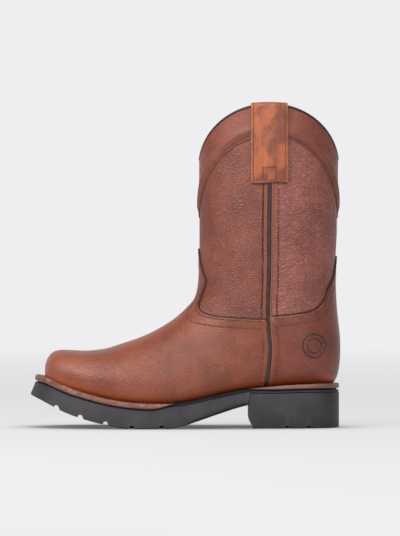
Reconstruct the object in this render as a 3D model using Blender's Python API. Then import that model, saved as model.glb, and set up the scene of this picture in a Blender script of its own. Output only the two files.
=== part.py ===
"""A left pull-on western work boot, standing empty on its sole.

The toe points to -X, the outer side of the foot faces -Y and +Z is up. The leather form is one loft: girth
sections run from the toe tip over the vamp, turn round the instep, and climb the shaft to a scalloped collar.
The hollow upper, its panels, the side piping, the insole and the sole are all cut from that form.
"""

from math import cos, hypot, pi, radians, sin

import bmesh
import bpy
import numpy as np
from mathutils import Matrix, Vector
from mathutils.bvhtree import BVHTree

# Leather form
FOOT_LENGTH = 0.288
BALL_WIDTH = 0.106
INSTEP_HEIGHT = 0.1295
SHAFT_DEPTH = 0.1347
SHAFT_SETBACK = 0.0015
COLLAR_PEAK = 0.3165
COLLAR_DIP = 0.258
COLLAR_WIDTH = 0.097
SECTION_POINTS = 24
FOOT_RINGS = 24
SHAFT_RINGS = 5

# Leather thicknesses, and the gap between pieces that touch
UPPER_WALL = 0.0016
PANEL_WALL = 0.0012
PIPING_RISE = 0.0020
PIPING_WIDTH = 0.0036
GAP = 0.0003

# Heights of the foot above the floor
BALL_SEAT = 0.0225
HEEL_SEAT = 0.0425
TOE_SPRING = 0.0270

# Sole unit
WELT_THICKNESS = 0.0050
WELT_LIP = 0.0025
RAND_THICKNESS = 0.0055
SOLE_UNDER_HEEL = 0.0030
SOLE_STATIONS = 28
SOLE_FLARE = 0.0045
SIDE_FLARE = 0.0012
WELT_END = 0.1285
RAND_LENGTH = 0.096
TIP_SLANT = 0.022
HEEL_LENGTH = 0.089
BREAST_CHAMFER = 0.0045
LUG_GROOVE_WIDTH = 0.0060
LUG_GROOVE_DEPTH = 0.0038
LUG_GROOVES = (0.0110, 0.0346, 0.0594, 0.0848, 0.1140)
HEEL_GROOVE_RADIUS = 0.0026
HEEL_GROOVES = (0.0513, 0.0304)
INSOLE_THICKNESS = 0.0035
INSOLE_REACH = 0.0040
LASTING_MARGIN = 0.0130
STRIP_START = 0.0080

# Side seam, panels and pull straps
BAND_PEAK = 0.2895
BAND_DIP = 0.2050
STRAP_WIDTH = 0.0355
STRAP_THICKNESS = 0.0020
STRAP_OUTSIDE_DROP = 0.0770
STRAP_INSIDE_DROP = 0.0600
STRAP_CROWN = 0.0030

# Girth sections, toe tip to shaft. Along columns are shares of FOOT_LENGTH from the toe tip, heights are
# shares of INSTEP_HEIGHT above the seat, and widths are shares of half BALL_WIDTH.
# Columns: top along, top, low along, lift, outer, inner, swing, widest, low power, top power.
SECTIONS = [
    (0.0000, 0.055, 0.0000, 0.038, 0.03, 0.03, 0.08, 0.50, 2.2, 2.2),
    (0.0015, 0.093, 0.0020, 0.010, 0.24, 0.24, 0.08, 0.46, 2.6, 2.2),
    (0.0085, 0.142, 0.0090, 0.000, 0.42, 0.40, 0.08, 0.44, 3.2, 2.3),
    (0.0220, 0.190, 0.0240, 0.000, 0.57, 0.54, 0.07, 0.42, 3.8, 2.4),
    (0.0450, 0.235, 0.0470, 0.000, 0.70, 0.66, 0.06, 0.40, 4.2, 2.4),
    (0.0850, 0.283, 0.0900, 0.000, 0.82, 0.78, 0.05, 0.38, 4.5, 2.4),
    (0.1400, 0.320, 0.1450, 0.000, 0.91, 0.86, 0.03, 0.37, 4.5, 2.3),
    (0.2000, 0.368, 0.2050, 0.000, 0.97, 0.91, 0.02, 0.36, 4.5, 2.2),
    (0.2600, 0.433, 0.2700, 0.000, 1.00, 0.93, 0.00, 0.34, 4.5, 2.1),
    (0.3250, 0.497, 0.3400, 0.000, 1.00, 0.92, -0.01, 0.31, 4.4, 2.0),
    (0.3850, 0.564, 0.4100, 0.000, 0.97, 0.87, -0.02, 0.29, 4.2, 1.95),
    (0.4400, 0.639, 0.4900, 0.000, 0.90, 0.80, -0.03, 0.28, 4.0, 1.95),
    (0.4850, 0.717, 0.5750, 0.000, 0.83, 0.75, -0.03, 0.29, 3.8, 1.95),
    (0.5100, 0.773, 0.6700, 0.000, 0.79, 0.74, -0.02, 0.33, 3.6, 2.0),
    (0.5210, 0.844, 0.7650, 0.000, 0.79, 0.76, -0.01, 0.39, 3.4, 2.0),
    (0.5260, 0.938, 0.8500, 0.000, 0.80, 0.78, 0.00, 0.44, 3.1, 2.05),
    (0.5271, 1.037, 0.9250, 0.000, 0.82, 0.80, 0.00, 0.47, 2.8, 2.1),
    (0.5271, 1.137, 0.9780, 0.022, 0.84, 0.82, 0.00, 0.49, 2.5, 2.1),
    (0.5271, 1.232, 0.9970, 0.140, 0.86, 0.84, 0.00, 0.50, 2.3, 2.1),
    (0.5271, 1.332, 1.0000, 0.340, 0.88, 0.86, 0.00, 0.50, 2.2, 2.1),
    (0.5271, 1.432, 0.9890, 0.590, 0.89, 0.88, 0.00, 0.50, 2.1, 2.1),
    (0.5271, 1.542, 0.9850, 0.840, 0.90, 0.89, 0.00, 0.50, 2.1, 2.1),
    (0.5271, 1.672, 0.9910, 1.140, 0.91, 0.90, 0.00, 0.50, 2.1, 2.1),
]

# Seat line under the foot at shares of FOOT_LENGTH, as shares of TOE_SPRING and of the heel's rise.
SEAT_LINE = [
    (-0.05, 1.28, 0.00), (0.00, 1.00, 0.00), (0.08, 0.58, 0.00), (0.16, 0.31, 0.00), (0.235, 0.13, 0.00),
    (0.31, 0.03, 0.00), (0.39, 0.00, 0.00), (0.455, 0.00, 0.03), (0.54, 0.00, 0.26), (0.615, 0.00, 0.53),
    (0.69, 0.00, 0.73), (0.79, 0.00, 0.89), (0.885, 0.00, 0.97), (1.05, 0.00, 1.00),
]

# Footprint at shares of FOOT_LENGTH: outer and inner half width and swing, as shares of half BALL_WIDTH.
# The half widths are divided by the curve that rounds both ends.
FOOTPRINT = [
    (0.00, 1.50, 1.46, 0.08), (0.05, 1.44, 1.38, 0.07), (0.10, 1.36, 1.28, 0.05), (0.20, 1.215, 1.13, 0.02),
    (0.30, 1.10, 1.01, 0.00), (0.40, 1.00, 0.90, -0.02), (0.50, 0.90, 0.78, -0.03), (0.60, 0.82, 0.70, -0.03),
    (0.70, 0.79, 0.74, -0.01), (0.80, 0.88, 0.86, 0.00), (0.90, 1.12, 1.11, 0.00), (1.00, 1.46, 1.46, 0.00),
]

# How far the sole stands out beyond the footprint, in metres, at shares of FOOT_LENGTH.
SOLE_MARGIN = [
    (0.00, 0.0113), (0.04, 0.0095), (0.12, 0.0068), (0.32, 0.0052), (0.58, 0.0045), (0.80, 0.0022),
    (1.00, 0.0005),
]

# Tread of the outsole at shares of FOOT_LENGTH, as shares of TOE_SPRING and of ARCH_RISE. The rows of zeros
# are the part of the forefoot that stands on the floor.
TREAD = [
    (-0.10, 1.45, 0.00), (0.00, 1.00, 0.00), (0.08, 0.58, 0.00), (0.16, 0.29, 0.00), (0.235, 0.10, 0.00),
    (0.295, 0.00, 0.00), (0.35, 0.00, 0.00), (0.405, 0.00, 0.00), (0.46, 0.00, 0.09), (0.52, 0.00, 0.31),
    (0.60, 0.00, 0.64), (0.66, 0.00, 0.87), (0.70, 0.00, 1.00), (1.10, 0.00, 1.00),
]
ARCH_RISE = 0.0235

# Edge of the vamp round the shaft's front, and of the counter round its back. Columns are the turn round the
# shaft in degrees, 0 at its front and 180 at its back, and the height as a share of INSTEP_HEIGHT.
VAMP_EDGE = [
    (0, 1.345), (8, 1.302), (14, 1.247), (20, 1.165), (23, 1.100), (24, 1.030), (25, 0.960), (28, 0.905),
    (33, 0.872), (44, 0.842), (60, 0.829), (78, 0.822), (100, 0.820),
]
COUNTER_EDGE = [
    (80, 0.836), (99, 0.843), (112, 0.855), (127, 0.880), (137, 0.925), (145, 0.990), (151, 1.065),
    (160, 1.150), (170, 1.235), (180, 1.275),
]

# Centre of the side seam. Up is a share of INSTEP_HEIGHT, across a share of SHAFT_DEPTH from its front.
SEAM = [
    (0.05, 0.430), (0.20, 0.452), (0.31, 0.470), (0.48, 0.497), (0.62, 0.506), (0.73, 0.497), (0.84, 0.492),
    (1.17, 0.498), (1.50, 0.500), (1.85, 0.502), (2.70, 0.502),
]

SHAFT_FRONT = FOOT_LENGTH - SHAFT_SETBACK - SHAFT_DEPTH
SEAM_MIDDLE = SHAFT_FRONT + SHAFT_DEPTH / 2
RAND_START = FOOT_LENGTH - RAND_LENGTH
HEEL_BREAST = FOOT_LENGTH - HEEL_LENGTH
SEAM_STEP = 0.020

# Sizes of the cutters, which reach past the boot on every side
SHEET_REACH = 0.12
FLOOR_CLEAR = 0.02
BEYOND = 0.05
HIGH = 0.20
SECTOR_REACH = (0.3, 0.8, 1.25, 4.5)


def smooth_rows(rows, at):
    """Every column of a table of rows, read smoothly at the places given, by the first column."""
    table = np.array(rows, float)
    x, y = table[:, 0], table[:, 1:]
    slope = np.gradient(y, x, axis=0)
    at = np.clip(np.atleast_1d(np.asarray(at, float)), x[0], x[-1])
    i = np.clip(np.searchsorted(x, at, side="right") - 1, 0, len(x) - 2)
    step = (x[i + 1] - x[i])[:, None]
    t = ((at - x[i])[:, None]) / step
    low, high = y[i], y[i + 1]
    turn = t * t * (3 - 2 * t)
    lead = t * (1 - t) ** 2 * step * slope[i]
    trail = t * t * (1 - t) * step * slope[i + 1]
    return low + (high - low) * turn + lead - trail


def seat(along):
    """Height of the seat line at distances behind the toe tip, in metres."""
    toe, heel = smooth_rows(SEAT_LINE, np.asarray(along) / FOOT_LENGTH).T
    return BALL_SEAT + TOE_SPRING * toe + (HEEL_SEAT - BALL_SEAT) * heel


def tread(along):
    """Height of the outsole's underside. Flat on the floor under the ball, and never under it."""
    toe, rise = smooth_rows(TREAD, along / FOOT_LENGTH)[0]
    return TOE_SPRING * max(0.0, toe) + ARCH_RISE * max(0.0, rise)


def half_power(angle, power):
    """Sine and cosine pulled towards a square by a power over 2."""
    c, s = cos(angle), sin(angle)
    return abs(s) ** (2 / power) * (1 if s >= 0 else -1), abs(c) ** (2 / power) * (1 if c >= 0 else -1)


def girth_ring(row):
    """One closed girth section: from the low point round the outer side to the top point and back."""
    top_along, top, low_along, lift, outer, inner, swing, widest, low_power, top_power = row
    high = Vector((top_along * FOOT_LENGTH, 0, float(seat(top_along * FOOT_LENGTH)[0]) + top * INSTEP_HEIGHT))
    low = Vector((low_along * FOOT_LENGTH, 0, float(seat(low_along * FOOT_LENGTH)[0]) + lift * INSTEP_HEIGHT))
    middle = low.lerp(high, widest)
    ring = []
    for j in range(SECTION_POINTS):
        angle = 2 * pi * j / SECTION_POINTS
        upward = cos(angle) < 0
        across, along = half_power(angle, top_power if upward else low_power)
        end = high if upward else low
        point = middle.lerp(end, abs(along))
        half = BALL_WIDTH / 2 * (outer if across > 0 else inner)
        point.y = swing * BALL_WIDTH / 2 - across * half
        ring.append(point)
    return ring


def scallop(along, dip, peak):
    """Height of a scalloped line that dips at the shaft's front and back and peaks at its side."""
    reach = min(1.0, abs(along - SEAM_MIDDLE) / (SHAFT_DEPTH / 2))
    return dip + (peak - dip) * (1 - reach * reach) ** 0.5


def collar_ring():
    """The collar: an oval, dipped at the front and the back."""
    ring = []
    for j in range(SECTION_POINTS):
        angle = 2 * pi * j / SECTION_POINTS
        along = SEAM_MIDDLE + cos(angle) * SHAFT_DEPTH / 2
        soft = (sin(angle) ** 2 + 0.012) ** 0.5 - 0.006
        height = COLLAR_DIP + (COLLAR_PEAK - COLLAR_DIP) * min(1.0, soft)
        ring.append(Vector((along, -sin(angle) * COLLAR_WIDTH / 2, height)))
    return ring


def form_rings():
    """All rings of the leather form, from the toe tip to the collar."""
    places = np.linspace(0, 1, len(SECTIONS))
    numbered = [(p, *row) for p, row in zip(places, SECTIONS)]
    close_toe = np.linspace(0, 1, FOOT_RINGS)
    rings = [girth_ring(row) for row in smooth_rows(numbered, close_toe)]
    last, collar = rings[-1], collar_ring()
    for k in range(1, SHAFT_RINGS + 1):
        share = k / SHAFT_RINGS
        rings.append([a.lerp(b, share) for a, b in zip(last, collar)])
    return rings


def mesh_object(name, bm, collection):
    """A new object from a bmesh, with outward normals."""
    bmesh.ops.recalc_face_normals(bm, faces=bm.faces)
    mesh = bpy.data.meshes.new(name)
    bm.to_mesh(mesh)
    bm.free()
    obj = bpy.data.objects.new(name, mesh)
    collection.objects.link(obj)
    return obj


def skin(bm, rows, outward=True):
    """Triangles between rows of vertices. Every offset of a form gets the same diagonals."""
    for a, b in zip(rows, rows[1:]):
        for j in range(len(a)):
            k = (j + 1) % len(a)
            for corners in ((a[j], a[k], b[k]), (a[j], b[k], b[j])):
                bm.faces.new(corners if outward else corners[::-1])


def loft(rings, cap_first=True, cap_last=True):
    """A bmesh tube through closed rings that have the same number of points."""
    bm = bmesh.new()
    rows = [[bm.verts.new(p) for p in ring] for ring in rings]
    skin(bm, rows)
    if cap_first:
        bm.faces.new(rows[0])
    if cap_last:
        bm.faces.new(rows[-1])
    return bm


def offset_rings(rings, distance):
    """The form's rings moved along the surface's normals. A closed tube keeps its outline's proportions."""
    bm = loft(rings, True, False)
    bmesh.ops.recalc_face_normals(bm, faces=bm.faces)
    bm.normal_update()
    bm.verts.ensure_lookup_table()
    outward = 1 if bm.verts[len(rings[0]) * (len(rings) - 3)].normal.x > 0 else -1
    moved = [v.co + v.normal * distance * outward for v in bm.verts]
    bm.free()
    count = len(rings[0])
    return [moved[i : i + count] for i in range(0, len(moved), count)]


def solid_form(name, rings, distance, collection):
    """The leather form as one closed solid, grown or shrunk by a distance."""
    return mesh_object(name, loft(offset_rings(rings, distance)), collection)


def shell(name, rings, inside, outside, collection):
    """A closed wall between two offsets of the form, open at the collar."""
    inner = offset_rings(rings, inside)
    outer = offset_rings(rings, outside)
    bm = bmesh.new()
    inner_rows = [[bm.verts.new(p) for p in ring] for ring in inner]
    outer_rows = [[bm.verts.new(p) for p in ring] for ring in outer]
    count = SECTION_POINTS
    skin(bm, outer_rows)
    skin(bm, inner_rows, outward=False)
    bm.faces.new(outer_rows[0][::-1])
    bm.faces.new(inner_rows[0])
    for j in range(count):
        k = (j + 1) % count
        bm.faces.new((outer_rows[-1][j], outer_rows[-1][k], inner_rows[-1][k], inner_rows[-1][j]))
    return mesh_object(name, bm, collection)


def footprint_side(share, side):
    """A point of the footprint at a share of its length, on its outer (-1) or inner (1) side."""
    outer, inner, swing = smooth_rows(FOOTPRINT, share)[0]
    round_end = 2 * max(0.0, share * (1 - share)) ** 0.5
    half = (inner if side > 0 else outer) * round_end
    return share * FOOT_LENGTH, BALL_WIDTH / 2 * (swing + side * half)


def footprint_outline(margin_at, stations=SOLE_STATIONS):
    """The footprint grown by a margin that may vary along it: outer side toe to heel, then inner side."""
    shares = [(1 - cos(pi * k / (stations - 1))) / 2 for k in range(stations)]
    outer = [footprint_side(s, -1) for s in shares]
    inner = [footprint_side(s, 1) for s in shares]
    loop = outer + inner[-2:0:-1]
    grown = []
    for k, (x, y) in enumerate(loop):
        ahead, behind = loop[(k + 1) % len(loop)], loop[k - 1]
        tangent = (ahead[0] - behind[0], ahead[1] - behind[1])
        length = hypot(*tangent)
        margin = margin_at(min(1.0, max(0.0, x / FOOT_LENGTH)))
        grown.append((x + tangent[1] / length * margin, y - tangent[0] / length * margin))
    return grown


def sole_margin(share):
    """How far the sole stands out beyond the footprint, at a share of the foot's length."""
    return float(smooth_rows(SOLE_MARGIN, share)[0][0])


def slab(name, outline, under, over, collection, flare=0.0):
    """A solid with this outline, between two heights that depend on the distance behind the toe tip."""
    count = len(outline)
    half = count // 2
    bm = bmesh.new()
    top, low = [], []
    for x, y in outline:
        ahead = max(0.0, 1 - x / WELT_END) * flare
        aside = (SIDE_FLARE if flare else 0.0) * max(-1.0, min(1.0, y / (BALL_WIDTH / 4)))
        top.append(bm.verts.new((x, y, float(over(x)))))
        low.append(bm.verts.new((x - ahead, y + aside, float(under(x)))))
    for j in range(count):
        k = (j + 1) % count
        bm.faces.new((top[j], top[k], low[k], low[j]))
    for rows in (top, low):
        for j in range(half):
            a, b = rows[j], rows[j + 1]
            c, d = rows[(count - j - 1) % count], rows[(count - j) % count]
            corners = []
            for v in (a, b, c, d):
                if v not in corners:
                    corners.append(v)
            if len(corners) > 2:
                bm.faces.new(corners)
    return mesh_object(name, bm, collection)


def sheet_cutter(name, corners, reach, collection, side=0):
    """A side outline pulled out across the whole boot, or across its outer (-1) or inner (1) side."""
    start = side * STRIP_START if side else -reach
    bm = bmesh.new()
    face = bm.faces.new([bm.verts.new((x, start, z)) for x, z in corners])
    pulled = bmesh.ops.extrude_face_region(bm, geom=[face])
    moved = [e for e in pulled["geom"] if isinstance(e, bmesh.types.BMVert)]
    bmesh.ops.translate(bm, verts=moved, vec=(0, side * reach if side else 2 * reach, 0))
    return mesh_object(name, bm, collection)


def combine(obj, other, operation):
    """Joins, cuts or keeps the common part of two closed meshes."""
    modifier = obj.modifiers.new(operation.title(), "BOOLEAN")
    modifier.operation = operation
    modifier.object = other
    modifier.solver = "EXACT"


def seam_line(shift, top, foot):
    """The side seam from one height down to another, moved along the boot by a distance."""
    levels = np.arange(-1, COLLAR_PEAK / SEAM_STEP + 1) * SEAM_STEP
    across = smooth_rows(SEAM, levels / INSTEP_HEIGHT)[:, 0]
    heights = [top] + [float(z) for z in levels[::-1] if foot < z < top] + [foot]
    return [(SHAFT_FRONT + np.interp(z, levels, across) * SHAFT_DEPTH + shift, z) for z in heights]


def seam_side(name, behind, collection):
    """A sheet over all of the boot that lies ahead of the side seam's piping, or all that lies behind it."""
    shift = (PIPING_WIDTH / 2 + GAP) * (1 if behind else -1)
    end = FOOT_LENGTH + BEYOND if behind else -BEYOND
    corners = [(end, -FLOOR_CLEAR), (end, COLLAR_PEAK)] + seam_line(shift, COLLAR_PEAK, -FLOOR_CLEAR)
    return sheet_cutter(name, corners, SHEET_REACH, collection)


def edge_heights(edge, clearance):
    """Heights of a panel's edge, or of a line above it that keeps this distance where the edge is steep."""
    girth = radians(1) * (SHAFT_DEPTH + COLLAR_WIDTH) / 4
    points = [(turn * girth, up * INSTEP_HEIGHT) for turn, up in edge]
    steep = [abs(b[1] - a[1]) / (b[0] - a[0]) for a, b in zip(points, points[1:])]
    steep = [max(pair) for pair in zip(steep[:1] + steep, steep + steep[-1:])]
    return [z + clearance * hypot(1, slope) for (_, z), slope in zip(points, steep)]


def sector(name, edge, low, high, collection):
    """A solid round the shaft's axis, between heights at an edge's turns, and the same on the other side."""
    turns = [turn for turn, _ in edge]
    if edge[0][0] == 0:
        order = [(-t, k) for k, t in enumerate(turns)][:0:-1] + [(t, k) for k, t in enumerate(turns)]
    else:
        order = [(t, k) for k, t in enumerate(turns)] + [(360 - t, k) for k, t in enumerate(turns)][-2::-1]
    bm = bmesh.new()
    rims = []
    for heights in (low, high):
        sheet = []
        for turn, k in order:
            along = -cos(radians(turn)) * SHAFT_DEPTH / 2
            aside = -sin(radians(turn)) * COLLAR_WIDTH / 2
            places = [(SEAM_MIDDLE + along * r, aside * r, heights[k]) for r in SECTOR_REACH]
            sheet.append([bm.verts.new(place) for place in places])
        for a, b in zip(sheet, sheet[1:]):
            for j in range(len(SECTOR_REACH) - 1):
                bm.faces.new((a[j], a[j + 1], b[j + 1]))
                bm.faces.new((a[j], b[j + 1], b[j]))
        far, near = [row[-1] for row in sheet], [row[0] for row in sheet]
        rims.append(sheet[0][:-1] + far + sheet[-1][-2::-1] + near[-2:0:-1])
    under, over = rims
    for j in range(len(under)):
        k = (j + 1) % len(under)
        bm.faces.new((under[j], under[k], over[k], over[j]))
    return mesh_object(name, bm, collection)


def panel(name, rings, edge, over, collection, helpers):
    """A sewn panel on the upper: under an edge down to the sole, or over it up to the collar band."""
    piece = shell(name, rings, GAP, GAP + PANEL_WALL, collection)
    band = [BAND_DIP + (BAND_PEAK - BAND_DIP) * sin(radians(turn)) for turn, _ in edge]
    if over:
        cutter = sector(name + "_reach", edge, edge_heights(edge, 2 * GAP), band, helpers)
    else:
        cutter = sector(name + "_reach", edge, [-FLOOR_CLEAR] * len(edge), edge_heights(edge, 0.0), helpers)
    combine(piece, seam_side(name + "_side", edge is COUNTER_EDGE, helpers), "INTERSECT")
    combine(piece, cutter, "INTERSECT")
    return piece


def leather(name, colour, roughness):
    """A plain material of this colour."""
    material = bpy.data.materials.new(name)
    material.use_nodes = True
    shader = material.node_tree.nodes["Principled BSDF"]
    shader.inputs["Base Color"].default_value = (*colour, 1)
    shader.inputs["Roughness"].default_value = roughness
    shader.inputs["Metallic"].default_value = 0.0
    return material


def wall_place(tree, side, along, height):
    """How far the form's skin stands from the middle plane at this place, on one side of the boot."""
    height = min(height, scallop(along, COLLAR_DIP, COLLAR_PEAK) - STRAP_THICKNESS)
    start = Vector((along, side * SHEET_REACH, height))
    return abs(tree.ray_cast(start, Vector((0, -side, 0)))[0].y)


def pull_strap(name, side, tree, collection):
    """A band over the collar: it hangs down outside over the panels, and inside along the wall."""
    columns, rise = 4, 2 * STRAP_THICKNESS
    crown = COLLAR_PEAK + STRAP_CROWN
    spring = crown - STRAP_THICKNESS / 2 - rise
    half = STRAP_THICKNESS / 2
    sections = []
    for c in range(columns + 1):
        x = SEAM_MIDDLE + STRAP_WIDTH * (c / columns - 0.5)
        path = [
            (wall_place(tree, side, x, z) + PIPING_RISE + 2 * GAP + half, z)
            for z in np.linspace(crown - STRAP_OUTSIDE_DROP, spring, 9)
        ]
        inside = [
            (wall_place(tree, side, x, z) - UPPER_WALL - 3 * GAP - half, z)
            for z in np.linspace(spring, crown - STRAP_INSIDE_DROP, 7)
        ]
        middle, reach = (path[-1][0] + inside[0][0]) / 2, (path[-1][0] - inside[0][0]) / 2
        path += [(middle + reach * cos(t), spring + rise * sin(t)) for t in np.linspace(0, pi, 7)[1:-1]]
        path += inside
        near, far = [], []
        for k, (y, z) in enumerate(path):
            ahead, behind = path[min(k + 1, len(path) - 1)], path[max(k - 1, 0)]
            run = Vector((ahead[0] - behind[0], ahead[1] - behind[1])).normalized() * half
            near.append(Vector((x, side * (y + run.y), z - run.x)))
            far.append(Vector((x, side * (y - run.y), z + run.x)))
        sections.append(near + far[::-1])
    return mesh_object(name, loft(sections), collection)


def cut_lugs(outsole, collection):
    """Cuts grooves across the forefoot's tread, open at both edges of the sole."""
    narrow, wide = LUG_GROOVE_WIDTH * 0.3, LUG_GROOVE_WIDTH * 0.5
    for k, x in enumerate(LUG_GROOVES):
        base = tread(x)
        slope = (tread(x + wide) - tread(x - wide)) / (2 * wide)
        groove = [
            (x - wide, base - FLOOR_CLEAR), (x - wide, base - wide * slope),
            (x - narrow, base + LUG_GROOVE_DEPTH - narrow * slope),
            (x + narrow, base + LUG_GROOVE_DEPTH + narrow * slope),
            (x + wide, base + wide * slope), (x + wide, base - FLOOR_CLEAR),
        ]
        combine(outsole, sheet_cutter(f"lug_groove_{k + 1}", groove, SHEET_REACH, collection), "DIFFERENCE")


def stand_in_place(collection, helpers):
    """Moves every mesh so that the middle of the boot's box, at floor height, is the origin."""
    graph = bpy.context.evaluated_depsgraph_get()
    points = [tuple(v.co) for obj in collection.objects for v in obj.evaluated_get(graph).data.vertices]
    low, high = np.min(points, axis=0), np.max(points, axis=0)
    shift = Matrix.Translation((-(low[0] + high[0]) / 2, -(low[1] + high[1]) / 2, -low[2]))
    for obj in list(collection.objects) + list(helpers.objects):
        obj.data.transform(shift)


def make_leathers():
    """One plain material for each leather and rubber."""
    return {
        "vamp": leather("vamp_leather", (0.235, 0.072, 0.032), 0.45),
        "shaft": leather("shaft_leather", (0.165, 0.062, 0.042), 0.5),
        "strap": leather("strap_leather", (0.36, 0.115, 0.04), 0.45),
        "piping": leather("piping_leather", (0.03, 0.028, 0.03), 0.4),
        "welt": leather("welt_leather", (0.19, 0.075, 0.05), 0.55),
        "insole": leather("insole_leather", (0.4, 0.3, 0.2), 0.8),
        "sole": leather("sole_rubber", (0.028, 0.027, 0.03), 0.6),
    }


def make_upper(rings, materials, boot, helpers):
    """The hollow upper, open at the collar and under the foot, with its panels, piping, straps and insole."""
    upper = shell("upper", rings, -UPPER_WALL, 0.0, boot)
    upper.data.materials.append(materials["shaft"])
    tree = BVHTree.FromPolygons(
        [v.co for v in upper.data.vertices], [list(p.vertices) for p in upper.data.polygons]
    )
    mouth = slab(
        "lasting_mouth", footprint_outline(lambda s: -LASTING_MARGIN),
        lambda x: -FLOOR_CLEAR, lambda x: seat(x)[0] + UPPER_WALL + 2 * GAP, helpers,
    )
    combine(upper, mouth, "DIFFERENCE")

    for name, edge, over, hide in (
        ("vamp", VAMP_EDGE, False, "vamp"), ("counter", COUNTER_EDGE, False, "vamp"),
        ("shaft_front", VAMP_EDGE, True, "shaft"), ("shaft_back", COUNTER_EDGE, True, "shaft"),
    ):
        piece = panel(name, rings, edge, over, boot, helpers)
        if not over:
            combine(piece, mouth, "DIFFERENCE")
        piece.data.materials.append(materials[hide])

    half = PIPING_WIDTH / 2
    seam_top = COLLAR_PEAK + STRAP_CROWN - STRAP_OUTSIDE_DROP - GAP
    seam_foot = HEEL_SEAT + WELT_LIP
    strip = seam_line(-half, seam_top, seam_foot) + seam_line(half, seam_top, seam_foot)[::-1]
    for name, side in (("piping_outer", -1), ("piping_inner", 1)):
        cord = shell(name, rings, GAP, GAP + PIPING_RISE, boot)
        combine(cord, sheet_cutter(name + "_strip", strip, SHEET_REACH, helpers, side), "INTERSECT")
        cord.data.materials.append(materials["piping"])

    for name, side in (("pull_strap_outer", -1), ("pull_strap_inner", 1)):
        strap = pull_strap(name, side, tree, boot)
        strap.data.materials.append(materials["strap"])

    inside = solid_form("inside", rings, -UPPER_WALL - GAP, helpers)
    insole = slab(
        "insole", footprint_outline(lambda s: INSOLE_REACH),
        lambda x: seat(x)[0] + UPPER_WALL + GAP,
        lambda x: seat(x)[0] + UPPER_WALL + GAP + INSOLE_THICKNESS, boot,
    )
    combine(insole, inside, "INTERSECT")
    insole.data.materials.append(materials["insole"])


def make_sole(rings, materials, boot, helpers):
    """The stitched welt, the rand over the heel, the outsole and the heel block."""
    outside = solid_form("outside", rings, PANEL_WALL + 2 * GAP, helpers)
    sole_edge = footprint_outline(sole_margin)

    def welt_under(x):
        return seat(x)[0] - WELT_THICKNESS

    def rand_under(x):
        return seat(x)[0] - RAND_THICKNESS

    def heel_top(x):
        return rand_under(x) - GAP - SOLE_UNDER_HEEL

    def high(x):
        return INSTEP_HEIGHT

    def deep(x):
        return -FLOOR_CLEAR

    behind = FOOT_LENGTH + BEYOND
    welt_reach = [(-BEYOND, -BEYOND), (WELT_END, -BEYOND), (WELT_END - TIP_SLANT, HIGH), (-BEYOND, HIGH)]
    rand_reach = [(RAND_START, -BEYOND), (behind, -BEYOND), (behind, HIGH), (RAND_START + TIP_SLANT, HIGH)]
    for name, low, rise, reach in (
        ("welt", welt_under, WELT_LIP, welt_reach), ("heel_rand", rand_under, WELT_LIP / 2, rand_reach),
    ):
        strip = slab(name, sole_edge, low, lambda x, rise=rise: seat(x)[0] + rise, boot)
        combine(strip, outside, "DIFFERENCE")
        combine(strip, sheet_cutter(name + "_reach", reach, SHEET_REACH, helpers), "INTERSECT")
        strip.data.materials.append(materials["welt"])

    outsole = slab("outsole", sole_edge, tread, lambda x: seat(x)[0] + WELT_LIP / 3, boot, flare=SOLE_FLARE)
    combine(outsole, outside, "DIFFERENCE")
    wide_edge = footprint_outline(lambda s: BEYOND / 2)
    heel_reach = [
        (HEEL_BREAST - GAP, -BEYOND), (behind, -BEYOND), (behind, HIGH), (HEEL_BREAST - GAP, HIGH),
    ]
    for name, low, top, reach in (
        ("welt_space", lambda x: welt_under(x) - GAP, high, [(x + GAP, z) for x, z in welt_reach]),
        ("rand_space", lambda x: rand_under(x) - GAP, high, [(x - GAP, z) for x, z in rand_reach]),
        ("heel_space", deep, heel_top, heel_reach),
    ):
        space = slab(name, wide_edge, low, top, helpers)
        combine(space, sheet_cutter(name + "_reach", reach, SHEET_REACH + BEYOND, helpers), "INTERSECT")
        combine(outsole, space, "DIFFERENCE")
    cut_lugs(outsole, helpers)
    outsole.data.materials.append(materials["sole"])

    heel = slab("heel", sole_edge, deep, lambda x: heel_top(x) - GAP, boot)
    block = [
        (HEEL_BREAST + BREAST_CHAMFER, 0.0), (HEEL_BREAST, 2 * BREAST_CHAMFER), (HEEL_BREAST, HIGH),
        (behind, HIGH), (behind, 0.0),
    ]
    combine(heel, sheet_cutter("heel_block", block, SHEET_REACH, helpers), "INTERSECT")
    turns = [pi * t / 6 for t in range(7)]
    for k, from_back in enumerate(HEEL_GROOVES):
        x = FOOT_LENGTH - from_back
        groove = [(x + HEEL_GROOVE_RADIUS * cos(t), HEEL_GROOVE_RADIUS * sin(t)) for t in turns]
        groove += [(x - HEEL_GROOVE_RADIUS, -FLOOR_CLEAR), (x + HEEL_GROOVE_RADIUS, -FLOOR_CLEAR)]
        combine(heel, sheet_cutter(f"heel_groove_{k + 1}", groove, SHEET_REACH, helpers), "DIFFERENCE")
    heel.data.materials.append(materials["sole"])


def main():
    for old in list(bpy.data.objects):
        bpy.data.objects.remove(old)
    boot = bpy.data.collections.new("work_boot")
    helpers = bpy.data.collections.new("cutters")
    for group in (boot, helpers):
        bpy.context.scene.collection.children.link(group)

    materials = make_leathers()
    rings = form_rings()
    make_upper(rings, materials, boot, helpers)
    make_sole(rings, materials, boot, helpers)
    stand_in_place(boot, helpers)
    for obj in helpers.objects:
        obj.hide_render = True
        obj.display_type = "WIRE"


main()
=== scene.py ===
"""A left pull-on western work boot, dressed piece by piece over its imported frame.

The toe points to -X and the outer side faces -Y. "Along" is the distance behind the toe tip, in metres.
"""

from math import cos, degrees, pi, radians, sin

import bpy
import numpy as np
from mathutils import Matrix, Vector
from mathutils.bvhtree import BVHTree


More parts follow.
